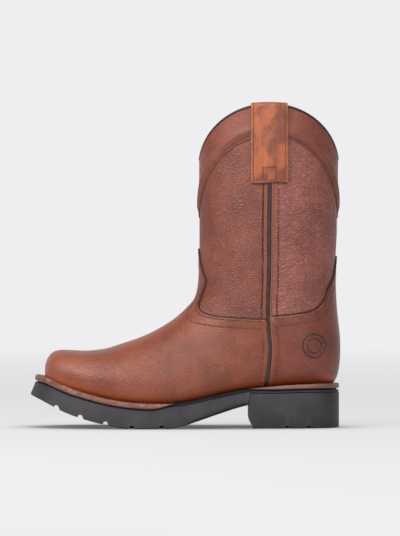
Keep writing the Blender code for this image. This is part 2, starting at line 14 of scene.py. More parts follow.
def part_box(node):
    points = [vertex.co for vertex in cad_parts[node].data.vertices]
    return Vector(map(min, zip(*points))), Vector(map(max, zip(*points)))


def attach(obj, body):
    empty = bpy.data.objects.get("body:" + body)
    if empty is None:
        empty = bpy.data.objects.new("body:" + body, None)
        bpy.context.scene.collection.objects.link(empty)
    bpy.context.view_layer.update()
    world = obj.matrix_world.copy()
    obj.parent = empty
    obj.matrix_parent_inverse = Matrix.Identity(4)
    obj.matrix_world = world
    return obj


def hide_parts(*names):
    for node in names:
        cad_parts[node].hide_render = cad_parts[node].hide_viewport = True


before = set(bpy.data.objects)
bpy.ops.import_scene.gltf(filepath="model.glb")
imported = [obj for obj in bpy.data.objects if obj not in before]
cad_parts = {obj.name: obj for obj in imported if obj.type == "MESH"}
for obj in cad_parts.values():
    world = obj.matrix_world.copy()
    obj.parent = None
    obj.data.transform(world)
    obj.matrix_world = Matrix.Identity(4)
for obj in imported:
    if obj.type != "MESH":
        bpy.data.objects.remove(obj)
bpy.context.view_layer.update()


# Last. The leather is pulled over a last, so its form comes first: girth sections from the toe tip over
# the vamp, round the instep and up the shaft to the scalloped collar. Every leather piece lies on it.
foot_length, ball_width, instep_height = 0.288, 0.106, 0.1295
shaft_depth, collar_width = 0.1347, 0.097
collar_peak, collar_dip = 0.3165, 0.258
ball_seat, heel_seat, toe_spring = 0.0225, 0.0425, 0.0270
shaft_setback = 0.0015
shaft_front = foot_length - shaft_setback - shaft_depth
seam_middle = shaft_front + shaft_depth / 2
toe_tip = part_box("upper")[0][0]
middle_plane = (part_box("pull_strap_outer")[0][1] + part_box("pull_strap_inner")[1][1]) / 2

# Shares of the foot's length and of the instep's height: top's place and height, low point's place and lift,
# outer and inner half width, swing, height of the widest line, and roundness below and above it.
girth_sections = [
    (0.0000, 0.074, 0.0000, 0.038, 0.03, 0.03, 0.08, 0.50, 2.2, 2.2),
    (0.0015, 0.113, 0.0020, 0.010, 0.24, 0.24, 0.08, 0.46, 2.6, 2.2),
    (0.0085, 0.163, 0.0090, 0.000, 0.42, 0.40, 0.08, 0.44, 3.2, 2.3),
    (0.0220, 0.214, 0.0240, 0.000, 0.57, 0.54, 0.07, 0.42, 3.8, 2.4),
    (0.0450, 0.254, 0.0470, 0.000, 0.70, 0.66, 0.06, 0.40, 4.2, 2.4),
    (0.0850, 0.287, 0.0900, 0.000, 0.82, 0.78, 0.05, 0.38, 4.5, 2.4),
    (0.1400, 0.320, 0.1450, 0.000, 0.91, 0.86, 0.03, 0.37, 4.5, 2.3),
    (0.2000, 0.368, 0.2050, 0.000, 0.97, 0.91, 0.02, 0.36, 4.5, 2.2),
    (0.2600, 0.433, 0.2700, 0.000, 1.00, 0.93, 0.00, 0.34, 4.5, 2.1),
    (0.3250, 0.497, 0.3400, 0.000, 1.00, 0.92, -0.01, 0.31, 4.4, 2.0),
    (0.3850, 0.564, 0.4100, 0.000, 0.97, 0.87, -0.02, 0.29, 4.2, 1.95),
    (0.4400, 0.639, 0.4900, 0.000, 0.90, 0.80, -0.03, 0.28, 4.0, 1.95),
    (0.4850, 0.717, 0.5750, 0.000, 0.83, 0.75, -0.03, 0.29, 3.8, 1.95),
    (0.5100, 0.773, 0.6700, 0.000, 0.79, 0.74, -0.02, 0.33, 3.6, 2.0),
    (0.5210, 0.844, 0.7650, 0.000, 0.79, 0.76, -0.01, 0.39, 3.4, 2.0),
    (0.5260, 0.938, 0.8500, 0.000, 0.80, 0.78, 0.00, 0.44, 3.1, 2.05),
    (0.5271, 1.037, 0.9250, 0.000, 0.82, 0.80, 0.00, 0.47, 2.8, 2.1),
    (0.5271, 1.137, 0.9780, 0.022, 0.84, 0.82, 0.00, 0.49, 2.5, 2.1),
    (0.5271, 1.232, 0.9970, 0.140, 0.86, 0.84, 0.00, 0.50, 2.3, 2.1),
    (0.5271, 1.332, 1.0000, 0.340, 0.88, 0.86, 0.00, 0.50, 2.2, 2.1),
    (0.5271, 1.432, 0.9890, 0.590, 0.89, 0.88, 0.00, 0.50, 2.1, 2.1),
    (0.5271, 1.542, 0.9850, 0.840, 0.90, 0.89, 0.00, 0.50, 2.1, 2.1),
    (0.5271, 1.672, 0.9910, 1.140, 0.91, 0.90, 0.00, 0.50, 2.1, 2.1),
]
# Place along the foot, rise of the toe, and rise of the heel.
seat_line = [
    (-0.05, 1.03, 0.00), (0.00, 0.90, 0.00), (0.035, 0.745, 0.00), (0.08, 0.56, 0.00), (0.16, 0.31, 0.00),
    (0.235, 0.13, 0.00), (0.31, 0.03, 0.00), (0.39, 0.00, 0.00), (0.455, 0.00, 0.03), (0.54, 0.00, 0.26),
    (0.615, 0.00, 0.53), (0.69, 0.00, 0.73), (0.79, 0.00, 0.89), (0.885, 0.00, 0.97), (1.05, 0.00, 1.00),
]


def smooth_rows(rows, at):
    """Every column of a table, read smoothly at places along its first column."""
    table = np.array(rows, float)
    x, y = table[:, 0], table[:, 1:]
    slope = np.gradient(y, x, axis=0)
    at = np.clip(np.atleast_1d(np.asarray(at, float)), x[0], x[-1])
    i = np.clip(np.searchsorted(x, at, side="right") - 1, 0, len(x) - 2)
    step = (x[i + 1] - x[i])[:, None]
    t = (at - x[i])[:, None] / step
    lead = t * (1 - t) ** 2 * step * slope[i]
    trail = t * t * (1 - t) * step * slope[i + 1]
    return y[i] + (y[i + 1] - y[i]) * t * t * (3 - 2 * t) + lead - trail


def seat(along):
    """Height of the foot's seat above the floor."""
    toe, heel = smooth_rows(seat_line, np.asarray(along) / foot_length).T
    return ball_seat + toe_spring * toe + (heel_seat - ball_seat) * heel


def smooth_step(x, low, high):
    """0 up to the low value, 1 from the high one, smooth between."""
    t = np.clip((x - low) / (high - low), 0, 1)
    return t * t * (3 - 2 * t)


def rim_height(sine):
    """Height of the scalloped collar, from the sine of the turn round the shaft: high at the sides."""
    return collar_dip + (collar_peak - collar_dip) * np.minimum(1, (sine**2 + 0.012) ** 0.5 - 0.006)


def last_form(foot_rows, shaft_rows, columns):
    """Points of the last: rows from the toe tip to the collar, columns round from the low point."""
    numbered = [(p, *row) for p, row in zip(np.linspace(0, 1, len(girth_sections)), girth_sections)]
    table = smooth_rows(numbered, np.linspace(0, 1, foot_rows)).T[:, :, None]
    top_along, top, low_along, lift, outer, inner, swing, widest, low_power, top_power = table
    turn = (2 * pi * np.arange(columns) / columns)[None, :]
    s, c = np.sin(turn), np.cos(turn)
    power = np.where(c < 0, top_power, low_power)
    reach = np.abs(c) ** (2 / power)
    across = np.sign(s) * np.abs(s) ** (2 / power)
    low_x, high_x = low_along * foot_length, top_along * foot_length
    low_z, high_z = (seat(x[:, 0])[:, None] + up * instep_height for x, up in ((low_x, lift), (high_x, top)))
    mid_x, mid_z = low_x + (high_x - low_x) * widest, low_z + (high_z - low_z) * widest
    x = mid_x + (np.where(c < 0, high_x, low_x) - mid_x) * reach
    z = mid_z + (np.where(c < 0, high_z, low_z) - mid_z) * reach
    y = (swing - across * np.where(across > 0, outer, inner)) * ball_width / 2
    foot = np.dstack([x, y, z])
    rim = np.dstack([seam_middle + c * shaft_depth / 2, -s * collar_width / 2, rim_height(s)])[0]
    share = np.linspace(0, 1, shaft_rows + 1)[1:, None, None]
    shaft = foot[-1][None] + (rim - foot[-1])[None] * share
    form = np.concatenate([foot, shaft])
    form[0] = form[0].mean(axis=0)
    return form + np.array([toe_tip, middle_plane, 0.0])


last = last_form(170, 125, 264)
round_last = np.roll(last, -1, axis=1) - np.roll(last, 1, axis=1)
normal = np.cross(round_last, np.gradient(last, axis=0))
normal[0] = (-1, 0, 0)
normal /= np.maximum(np.linalg.norm(normal, axis=2, keepdims=True), 1e-12)
rows, columns = last.shape[:2]
shaft_row, outer_column = 200, columns // 4
if normal[shaft_row, outer_column, 1] > 0:
    normal[1:] *= -1
corner = np.arange(rows * columns).reshape(rows, columns)
beyond = np.roll(corner, -1, 1)
last_quads = np.stack([corner[:-1], beyond[:-1], beyond[1:], corner[1:]], axis=2).reshape(-1, 4)
last_tree = BVHTree.FromPolygons([Vector(p) for p in last.reshape(-1, 3)], last_quads.tolist())


def on_shaft(turn, height, lift=0.0):
    """A point of the last's skin, and its outward normal, at a turn in degrees round the shaft from the front."""
    out = Vector((-cos(radians(turn)) * shaft_depth, -sin(radians(turn)) * collar_width, 0)).normalized()
    hit, facing = last_tree.ray_cast(Vector((seam_middle + toe_tip, middle_plane, height)), out)[:2]
    if facing.dot(out) < 0:
        facing = -facing
    return hit + facing * lift, facing


def on_side(along, height, side, lift=0.0):
    """A point of the last's skin, and its outward normal, seen from the outer (-1) or inner (1) side."""
    hit, facing = last_tree.ray_cast(Vector((along + toe_tip, side * 0.2, height)), Vector((0, -side, 0)))[:2]
    if facing.y * side < 0:
        facing = -facing
    return hit + facing * lift, facing


# Edges and seams drawn on the last, in millimetres: the vamp's tongue-shaped top, the counter's top and
# the arched foot of the collar band, by turn round the shaft, and the side seam, by height.
girth_mm = (shaft_depth + collar_width) / 4 * 1000
vamp_top = [
    (0, 176.0), (6, 171.5), (11, 165.5), (16, 157.5), (21.5, 150.5), (25.5, 145.5), (25.8, 141.0), (23.5, 135.5),
    (21.8, 129.5), (21.5, 124.0), (23.0, 119.0), (27.0, 115.0), (33.0, 111.8), (43.0, 109.3), (59.0, 108.0),
    (75.0, 107.0), (92.0, 106.5), (110.0, 106.5),
]
counter_top = [
    (70.0, 108.5), (87.0, 109.0), (101.0, 110.3), (112.0, 111.8), (126.0, 114.3), (136.0, 119.6), (143.0, 126.5),
    (148.0, 134.5), (152.0, 139.5), (158.5, 144.5), (164.0, 151.0), (170.0, 159.0), (175.0, 165.0), (180.0, 168.5),
]
seam_places = [
    (0.05, 0.430), (0.20, 0.452), (0.31, 0.470), (0.48, 0.497), (0.62, 0.506), (0.73, 0.497), (0.84, 0.492),
    (1.17, 0.498), (1.50, 0.500), (1.85, 0.502), (2.70, 0.502),
]
band_low, band_high = 0.2050, 0.2855


def seam_along(height):
    """Where the side seam runs at a height, as a distance behind the toe tip."""
    return shaft_front + smooth_rows(seam_places, np.asarray(height) / instep_height)[:, 0] * shaft_depth


def walked_along(points):
    """How far each point of a line lies along it."""
    return np.concatenate([[0], np.cumsum(np.linalg.norm(np.diff(points, axis=0), axis=1))])


def drawn(points, count=160):
    """Turns in degrees and heights in millimetres, as a smooth flat line in millimetres."""
    points = np.array([(radians(turn) * girth_mm, height) for turn, height in points], float)
    walked = walked_along(points)
    return smooth_rows(np.column_stack([walked, points]), np.linspace(0, walked[-1], count))


def signed_gap(line, bottom):
    """Distance of every point of the last from a drawn line, positive on the side of the bottom height."""
    flat = np.column_stack([arc.reshape(-1), height_mm.reshape(-1)])
    nearest = np.full(len(flat), 1e9)
    for a, b in zip(line, line[1:]):
        run = b - a
        share = np.clip(((flat - a) @ run) / (run @ run), 0, 1)
        nearest = np.minimum(nearest, np.linalg.norm(flat - a - share[:, None] * run, axis=1))
    beside_line = 90
    past = line[-1][0] + beside_line
    corners = [(past, line[-1][1]), (past, bottom), (-beside_line, bottom), (-beside_line, line[0][1])]
    loop = np.vstack([line, corners])
    within = np.zeros(len(flat), bool)
    for a, b in zip(loop, np.roll(loop, -1, axis=0)):
        crosses = (a[1] > flat[:, 1]) != (b[1] > flat[:, 1])
        level = np.where(b[1] == a[1], 1e-9, b[1] - a[1])
        within ^= crosses & (flat[:, 0] < (b[0] - a[0]) * (flat[:, 1] - a[1]) / level + a[0])
    return np.where(within, nearest, -nearest).reshape(arc.shape)


beside = last - np.array([toe_tip, middle_plane, 0.0])
arc = np.arctan2(np.abs(beside[..., 1]) / collar_width, (seam_middle - beside[..., 0]) / shaft_depth) * girth_mm
height_mm = beside[..., 2] * 1000
vamp_line, counter_line = drawn(vamp_top), drawn(counter_top)
band_line = drawn([(t, (band_low + (band_high - band_low) * sin(radians(t))) * 1000) for t in range(0, 181, 9)])
far_below, far_above = -900.0, 900.0
under_vamp_top = signed_gap(vamp_line, far_below)
under_counter_top = signed_gap(counter_line, far_below)
over_band = signed_gap(band_line, far_above)
behind_seam = (beside[..., 0] - seam_along(beside[..., 2].reshape(-1)).reshape(arc.shape)) * 1000


def cut_leather(name, keep, lift, wall, marks=None):
    """Leather with its wall inside the last's skin, where keep is positive. Points by the cut are moved to it."""
    marks = marks or {}
    stack = np.dstack([last, normal, lift, keep, *marks.values()])
    placed, field = stack.copy(), keep.copy()
    nearest = np.full(keep.shape, np.inf)
    for axis, step in ((0, 1), (0, -1), (1, 1), (1, -1)):
        far, other = np.roll(stack, -step, axis), np.roll(keep, -step, axis)
        crossing = (keep * other < 0) & (np.abs(keep) <= np.abs(other))
        if axis == 0:
            crossing[-1 if step > 0 else 0] = False
        share = np.where(crossing, keep / np.where(keep == other, 1, keep - other), 0)
        moved = stack + (far - stack) * share[..., None]
        gap = np.linalg.norm(moved[..., :3] - last, axis=2)
        better = crossing & (gap < nearest)
        placed[better], nearest[better], field[better] = moved[better], gap[better], 0
    signs = field.reshape(-1)[last_quads]
    whole = (signs >= 0).all(axis=1) & (signs > 0).any(axis=1)
    faces = [tuple(q) for q in last_quads[whole]]
    for k in range(4):
        here, ahead, across, behind = (signs[:, (k + step) % 4] for step in range(4))
        cut = (here > 0) & (ahead == 0) & (behind == 0) & (across < 0)
        faces += [(q[k - 1], q[k], q[(k + 1) % 4]) for q in last_quads[cut]]
    used = np.unique(np.concatenate([np.array(f) for f in faces]))
    renumber = np.full(rows * columns, -1)
    renumber[used] = np.arange(len(used))
    flat = placed.reshape(-1, placed.shape[2])[used]
    facing = flat[:, 3:6] / np.maximum(np.linalg.norm(flat[:, 3:6], axis=1, keepdims=True), 1e-9)
    points = flat[:, :3] + facing * flat[:, 6:7]
    held = {mark: flat[:, 8 + k] for k, mark in enumerate(marks)}
    piece = new_piece(name, points.tolist(), [[int(renumber[v]) for v in f] for f in faces], held)
    turn_outward(piece, weld=0.00002)
    middle = Vector((toe_tip + seam_middle, middle_plane, 0.15))
    if sum(face.normal.dot(face.center - middle) for face in piece.data.polygons) < 0:
        piece.data.flip_normals()
    bpy.ops.object.shade_smooth()
    finish_with(piece, "SOLIDIFY", thickness=wall, offset=-1.0, use_even_offset=False)
    return piece


def pick(piece):
    """Makes one object the only one that an operator acts on."""
    bpy.ops.object.select_all(action="DESELECT")
    piece.select_set(True)
    bpy.context.view_layer.objects.active = piece


def new_piece(name, points, faces, marks=None):
    """An object from points and faces, with its marks kept on its points, picked for the next operator."""
    mesh = bpy.data.meshes.new(name)
    mesh.from_pydata(points, [], faces)
    for mark, values in (marks or {}).items():
        mesh.attributes.new(mark, "FLOAT", "POINT").data.foreach_set("value", np.array(values, np.float32))
    piece = bpy.data.objects.new(name, mesh)
    bpy.context.scene.collection.objects.link(piece)
    pick(piece)
    return piece


def turn_outward(piece, weld=None):
    """Turns a piece's faces outwards, and first welds points that are this close."""
    pick(piece)
    bpy.ops.object.mode_set(mode="EDIT")
    bpy.ops.mesh.select_all(action="SELECT")
    if weld:
        bpy.ops.mesh.remove_doubles(threshold=weld)
    bpy.ops.mesh.normals_make_consistent(inside=False)
    bpy.ops.object.mode_set(mode="OBJECT")


def finish_with(piece, kind, **settings):
    """Adds a modifier and applies it."""
    pick(piece)
    modifier = piece.modifiers.new(kind.title(), kind)
    for key, value in settings.items():
        setattr(modifier, key, value)
    bpy.ops.object.modifier_apply(modifier=modifier.name)


class Amount:
    """A number that changes over a surface. Arithmetic on it adds Math nodes."""

    def __init__(self, tree, socket):
        self.tree, self.socket = tree, socket

    def math(self, operation, *others):
        node = self.tree.nodes.new("ShaderNodeMath")
        node.operation = operation
        for socket, value in zip(node.inputs, (self, *others)):
            if isinstance(value, Amount):
                self.tree.links.new(value.socket, socket)
            else:
                socket.default_value = value
        return Amount(self.tree, node.outputs[0])

    def __add__(self, other):
        return self.math("ADD", other)

    def __mul__(self, other):
        return self.math("MULTIPLY", other)

    def __sub__(self, other):
        return self.math("SUBTRACT", other)

    def __rsub__(self, other):
        return self.math("MULTIPLY", -1.0).math("ADD", other)

    def __abs__(self):
        return self.math("ABSOLUTE")

    __radd__, __rmul__ = __add__, __mul__

    def between(self, low, high):
        """0 up to the low value, 1 from the high one, smooth between."""
        node = self.tree.nodes.new("ShaderNodeMapRange")
        node.interpolation_type = "SMOOTHSTEP"
        self.tree.links.new(self.socket, node.inputs["Value"])
        node.inputs["From Min"].default_value = low
        node.inputs["From Max"].default_value = high
        return Amount(self.tree, node.outputs["Result"])


class Finish:
    """A material being mixed on one Principled shader."""

    def __init__(self, name, **constants):
        self.material = bpy.data.materials.new(name)
        self.material.use_nodes = True
        self.tree = self.material.node_tree
        self.shader = self.tree.nodes["Principled BSDF"]
        for key, value in constants.items():
            self.shader.inputs[key.replace("_", " ")].default_value = value

    def node(self, kind, settings, sockets, output=0):
        """Any node: its settings first, then the values or links of its sockets."""
        node = self.tree.nodes.new(kind)
        for key, value in settings.items():
            setattr(node, key, value)
        for key, value in sockets.items():
            if isinstance(value, Amount):
                self.tree.links.new(value.socket, node.inputs[key])
            else:
                node.inputs[key].default_value = value
        return Amount(self.tree, node.outputs[output])

    def spot(self):
        """Object coordinates."""
        return self.node("ShaderNodeTexCoord", {}, {}, 3)

    def place(self, stretch):
        """Object coordinates, stretched."""
        return self.node("ShaderNodeMapping", {}, {"Vector": self.spot(), "Scale": stretch})

    def noise(self, size, stretch=(1, 1, 1), detail=2.0, rough=0.5, warp=0.0):
        """Cloudy noise from 0 to 1 whose patches are about this size in metres."""
        sockets = {"Vector": self.place(stretch), "Scale": 1 / size, "Detail": detail, "Roughness": rough}
        return self.node("ShaderNodeTexNoise", {}, {**sockets, "Distortion": warp})

    def pebbles(self, size, stretch=(1, 1, 1)):
        """Distance from the creases between the pebbles of a leather's grain, 0 in a crease."""
        sockets = {"Vector": self.place(stretch), "Scale": 1 / size}
        return self.node("ShaderNodeTexVoronoi", {"feature": "DISTANCE_TO_EDGE"}, sockets)

    def mark(self, name):
        """What a piece's points hold under a name."""
        return self.node("ShaderNodeAttribute", {"attribute_name": name}, {}, 2)

    def blend(self, share, first, second):
        """One colour turning into another."""
        first, second = (c if isinstance(c, Amount) else (*c, 1) for c in (first, second))
        return self.node("ShaderNodeMix", {"data_type": "RGBA"}, {0: share, 6: first, 7: second}, 2)

    def feed(self, colour, roughness, height, depth):
        """Links what was mixed to the shader: colour, roughness, and a height that becomes a bump."""
        bump = self.node("ShaderNodeBump", {}, {"Height": height, "Strength": 1.0, "Distance": depth})
        for socket, value in (("Base Color", colour), ("Roughness", roughness), ("Normal", bump)):
            self.tree.links.new(value.socket, self.shader.inputs[socket])
        return self.material


# Lining and wall. The upper's inner leather: a plain tan lining that goes from the toe to the collar, and
# carries the shaft's wall between it and the panels.
lining = cut_leather("lining", np.ones(arc.shape), np.full(arc.shape, -0.0001), 0.0015)
finish_with(lining, "DECIMATE", ratio=0.42)
tan = Finish("lining_leather", Roughness=0.75)
soft = tan.noise(0.012, detail=3.0)
lining.data.materials.append(tan.feed(
    tan.blend(soft, (0.36, 0.25, 0.16), (0.27, 0.17, 0.1)), 0.65 + soft * 0.15, tan.noise(0.0009, detail=2.0), 0.0001
))
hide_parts("upper")
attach(lining, "root")


# Insole. A sock of the same tan leather, cut flat and glued over the insole board. It keeps the CAD's shape
# and takes the lining's finish.
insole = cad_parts["insole"]
insole.data.materials.clear()
insole.data.materials.append(tan.material)


# Shaft panels. Two pebbled, oiled leather panels, front and back, sewn to each other down both sides. The
# back one is softer and has creased across.
def leather(name, base, dark, light, grain, wrinkles=0.0, stretch=(1, 1, 1), patch=0.6):
    """A waxed leather being mixed: cloudy colour, pebbled grain with painted shade in its creases, and cross wrinkles
    with painted shade in their furrows.
    """
    mix = Finish(name, Specular_IOR_Level=0.38)
    clouds = mix.noise(0.030, detail=5.0, rough=0.6)
    patches = mix.noise(0.008, stretch=(1, 1, 1.4), detail=3.0, rough=0.6)
    cell = mix.pebbles(grain, stretch=stretch)
    fine = mix.pebbles(grain * 0.45, stretch=stretch)
    crease = 1 - cell.between(0.0, 0.22)
    hair = mix.noise(grain * 0.35, stretch=stretch, detail=2.0)
    colour = mix.blend(clouds.between(0.30, 0.72), dark, base)
    colour = mix.blend(patches.between(0.50, 0.90) * patch, colour, light)
    # Painted shade: the creases between the pebbles are darkened.
    colour = mix.blend(crease * 0.35, colour, tuple(c * 0.45 for c in dark))
    height = cell.between(0.0, 0.55) * 0.6 + fine.between(0.0, 0.5) * 0.22 + hair * 0.2
    if wrinkles:
        waves = mix.noise(0.0070, stretch=(0.45, 0.45, 1.35), detail=2.5, rough=0.5, warp=0.6)
        furrow = 1 - abs(waves - 0.5).between(0.0, 0.11)
        amount = mix.mark("wrinkle")
        height = height - furrow * amount * wrinkles * 1.2 + waves * amount * wrinkles * 2.0
        # Painted shade: the furrows of the wrinkles are darkened.
        colour = mix.blend(furrow * amount * 0.18, colour, tuple(c * 0.42 for c in dark))
    return mix, colour, height, clouds, crease


def sew_marks(colour, height, mix, thread_dark):
    """Darkens the leather and presses it in along its stitched lines."""
    row = mix.mark("stitch")
    pressed = 1 - row.between(0.15, 1.1)
    colour = mix.blend(pressed * 0.28, colour, thread_dark)
    return colour, height - pressed * 1.6


near_seam = np.abs(behind_seam)
seam_row_front, seam_row_back = 6.3, 8.6
seam_roll = 0.0009 * np.exp(-(((near_seam - 3.3) / 1.3) ** 2))
seam_rows = np.minimum(np.abs(behind_seam + seam_row_front), np.abs(behind_seam - seam_row_back))
slump, creases = np.zeros(arc.shape), np.zeros(arc.shape)
slump_count, crease_count = 60, 420
rng = np.random.default_rng(11)
for _ in range(slump_count):
    at_arc, at_height = rng.uniform(90, 185), rng.uniform(118, 262)
    long, tall, deep = rng.uniform(9, 24), rng.uniform(2.0, 4.0), rng.uniform(-0.45, 0.4)
    side = np.sign(rng.uniform(-1, 1)) * beside[..., 1] > 0
    tilt = rng.uniform(-0.25, 0.25)
    u, v = (arc - at_arc), (height_mm - at_height)
    slump += side * deep * np.exp(-((u / long) ** 2) - (((v - u * tilt) / tall) ** 2))
for _ in range(crease_count):
    at_arc, at_height = rng.uniform(92, 186), rng.uniform(112, 268)
    long, tall, deep = rng.uniform(4, 12), rng.uniform(1.2, 2.1), rng.uniform(-0.46, 0.34)
    side = np.sign(rng.uniform(-1, 1)) * beside[..., 1] > 0
    u = arc - at_arc
    v = height_mm - at_height - u * rng.uniform(-0.28, 0.28) - u**2 * rng.uniform(-0.02, 0.02)
    creases += side * deep * np.exp(-((u / long) ** 2) - ((v / tall) ** 2))
shaft_marks = {
    "stitch": np.minimum(seam_rows, 9.0), "edge": np.minimum(near_seam, 30.0),
    "wrinkle": smooth_step(behind_seam, 4, 16) * (1 - 0.5 * smooth_step(height_mm, 240, 285)),
}
seam_half, under_edge, under_band = 1.0, 1.0, 3.0
for name, side, edge_gap, colours, grain, depth, wrinkles in (
    ("shaft_front", -1, under_vamp_top, ((0.215, 0.058, 0.034), (0.130, 0.034, 0.022), (0.27, 0.088, 0.055)),
     0.0031, 0.00065, 0.30),
    ("shaft_back", 1, under_counter_top, ((0.285, 0.092, 0.070), (0.190, 0.058, 0.044), (0.38, 0.150, 0.120)),
     0.0034, 0.00062, 0.55),
):
    keep = np.minimum(np.minimum(under_edge - edge_gap, side * behind_seam - seam_half), under_band - over_band)
    lift = 0.0009 + seam_roll
    if name == "shaft_back":
        lift = lift + (slump * 0.6 + np.clip(creases, -0.8, 0.7) * 0.62) * 0.001 * smooth_step(behind_seam, 8, 14)
    panel = cut_leather(name + "_panel", keep, lift, 0.0008, shaft_marks)
    mix, colour, height, clouds, crease = leather(
        name + "_leather", *colours, grain, wrinkles, stretch=(0.75, 0.75, 1.25)
    )
    near = 1 - mix.mark("edge").between(2.0, 8.5)
    colour = mix.blend(near * 0.7, colour, (0.20, 0.050, 0.022))
    colour, height = sew_marks(colour, height, mix, (0.03, 0.012, 0.008))
    panel.data.materials.append(mix.feed(colour, 0.36 + clouds * 0.12 + crease * 0.12, height, depth))
    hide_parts(name)
    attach(panel, "root")


# Vamp and counter. Smooth waxed leather, cut in one piece round the front of the foot and one round the
# heel, sewn over the shaft panels with two rows. It is burnished orange along the sole, with painted shade
# nearly black at its foot by the welt, and rubbed lighter with a painted highlight on the toe.
first_row, second_row = 2.4, 9.6
stamp_place = (0.1270, -0.046, 0.0805)
ring_radius, inner_ring_radius, beads_radius = 11.5, 7.0, 9.2
sole_gap = (beside[..., 2] - seat(beside[..., 0].reshape(-1)).reshape(arc.shape)) * 1000
rng = np.random.default_rng(5)
folds = np.zeros(arc.shape)
for at_x, at_z, long, wide, tilt, deep in (
    (0.147, 118, 16, 2.4, 0.75, -0.55), (0.143, 112, 18, 2.6, 0.8, 0.5), (0.152, 128, 12, 2.0, 1.2, -0.4),
    (0.118, 92, 22, 4.0, 0.25, -0.45), (0.100, 82, 26, 4.5, 0.2, -0.4), (0.108, 86, 24, 4.0, 0.2, 0.35),
    (0.086, 72, 20, 4.0, 0.1, -0.3), (0.262, 122, 11, 1.7, -1.1, -0.4), (0.268, 118, 12, 1.7, -1.0, 0.35),
    (0.272, 128, 10, 1.6, -1.3, -0.35), (0.250, 100, 14, 2.2, -0.5, 0.3), (0.165, 98, 20, 3.0, 0.25, -0.3),
):
    u, v = beside[..., 0] * 1000 - at_x * 1000, height_mm - at_z
    length, across = (u + v * tilt) / (1 + tilt**2) ** 0.5, (v - u * tilt) / (1 + tilt**2) ** 0.5
    folds += deep * np.exp(-((length / long) ** 2) - ((across / wide) ** 2))
for name, edge_gap, sign in (("vamp", under_vamp_top, -1), ("counter", under_counter_top, 1)):
    rows_of_thread = np.minimum(np.abs(edge_gap - first_row), np.abs(edge_gap - second_row))
    rows_of_thread = np.minimum(rows_of_thread, np.where(edge_gap > second_row, seam_rows, 9.0))
    keep = np.minimum(edge_gap, sign * behind_seam - seam_half)
    marks = {
        "stitch": np.minimum(rows_of_thread, 9.0), "wrinkle": np.clip(1 - edge_gap / 30, 0, 1),
        "sole": np.clip(sole_gap, 0, 40), "seam": np.minimum(near_seam, 30),
        "rub_and_highlight": np.exp(-(((beside[..., 0] - 0.026) / 0.034) ** 2) - ((height_mm - 60) / 13) ** 2),
    }
    lift = 0.0016 + seam_roll * 0.8 + folds * 0.0006
    lift += 0.0004 * (smooth_step(edge_gap, 10.2, 8.6) + smooth_step(edge_gap, 3.4, 2.0) * 0.4)
    piece = cut_leather(name + "_piece", keep, lift, 0.0007, marks)
    smooth = (0.235, 0.058, 0.027) if name == "vamp" else (0.215, 0.055, 0.034)
    shaded, rub_and_highlight = tuple(c * 0.62 for c in smooth), (0.33, 0.098, 0.050)
    mix, colour, height, clouds, crease = leather(name + "_leather", smooth, shaded, rub_and_highlight, 0.0018, 0.25, patch=0.35)
    if name == "counter":
        spot = mix.spot()
        middle = mix.node("ShaderNodeVectorMath", {"operation": "SUBTRACT"}, {0: spot, 1: stamp_place})
        flat = mix.node("ShaderNodeVectorMath", {"operation": "MULTIPLY"}, {0: middle, 1: (1000, 0, 1000)})
        away = mix.node("ShaderNodeVectorMath", {"operation": "LENGTH"}, {0: flat}, 1)
        outer_side = 1 - mix.node("ShaderNodeSeparateXYZ", {}, {"Vector": spot}, 1).between(-0.01, 0.01)
        rings = 1 - (abs(away - ring_radius).between(0.35, 1.0) * abs(away - inner_ring_radius).between(0.3, 0.8))
        beads = mix.node("ShaderNodeTexVoronoi", {"feature": "F1"}, {"Vector": spot, "Scale": 520.0})
        beaded = (1 - beads.between(0.25, 0.5)) * (1 - abs(away - beads_radius).between(0.8, 1.6)) * 0.7
        pressed = (rings + beaded) * outer_side
        colour = mix.blend(pressed * 0.85, colour, (0.045, 0.014, 0.010))
        height = height - pressed * 3.0
    # Painted highlight on the toe, with some rub: a soft lighter patch.
    colour = mix.blend(mix.mark("rub_and_highlight") * 0.32, colour, (0.37, 0.118, 0.066))
    low = 1 - mix.mark("sole").between(2.0, 13.0)
    foot_of_seam = 1 - mix.mark("seam").between(2.0, 7.5)
    colour = mix.blend(foot_of_seam * 0.5, colour, (0.22, 0.058, 0.026))
    colour = mix.blend(low * 0.8, colour, (0.36, 0.078, 0.016))
    # Painted shade: nearly black in the last few millimetres above the sole, where the upper meets the welt.
    colour = mix.blend((1 - mix.mark("sole").between(0.3, 3.8)) * 0.85, colour, (0.040, 0.009, 0.003))
    colour, height = sew_marks(colour, height, mix, (0.03, 0.010, 0.006))
    piece.data.materials.append(mix.feed(colour, 0.28 + clouds * 0.14 + crease * 0.06, height, 0.00026))
    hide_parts(name)
    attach(piece, "root")


# Collar band. A facing of the shaft's leather round its top, with an arched foot over each side. It lies
# over the panels, held by one row of tan thread.
band_row = 2.2
band_lift = 0.0016 + 0.0018 * np.exp(-(((over_band - 8.0) / 3.6) ** 2)) - 0.0004 * smooth_step(over_band, 14, 26)
band = cut_leather("collar_band", over_band, band_lift, 0.0008, {"stitch": np.abs(over_band - band_row)})
mix, colour, height, clouds, crease = leather(
    "band_leather", (0.225, 0.062, 0.036), (0.150, 0.040, 0.026), (0.32, 0.10, 0.065), 0.0024
)
colour, height = sew_marks(colour, height, mix, (0.05, 0.018, 0.01))
band.data.materials.append(mix.feed(colour, 0.36 + clouds * 0.12 + crease * 0.08, height, 0.00034))
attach(band, "root")


# Piping. A thin black-brown cord is laid into the top edge of the vamp and of the counter, where the
# smooth leather meets the pebbled shaft.
black = Finish("piping_cord", Base_Color=(0.026, 0.012, 0.007, 1), Roughness=0.55, Specular_IOR_Level=0.2)


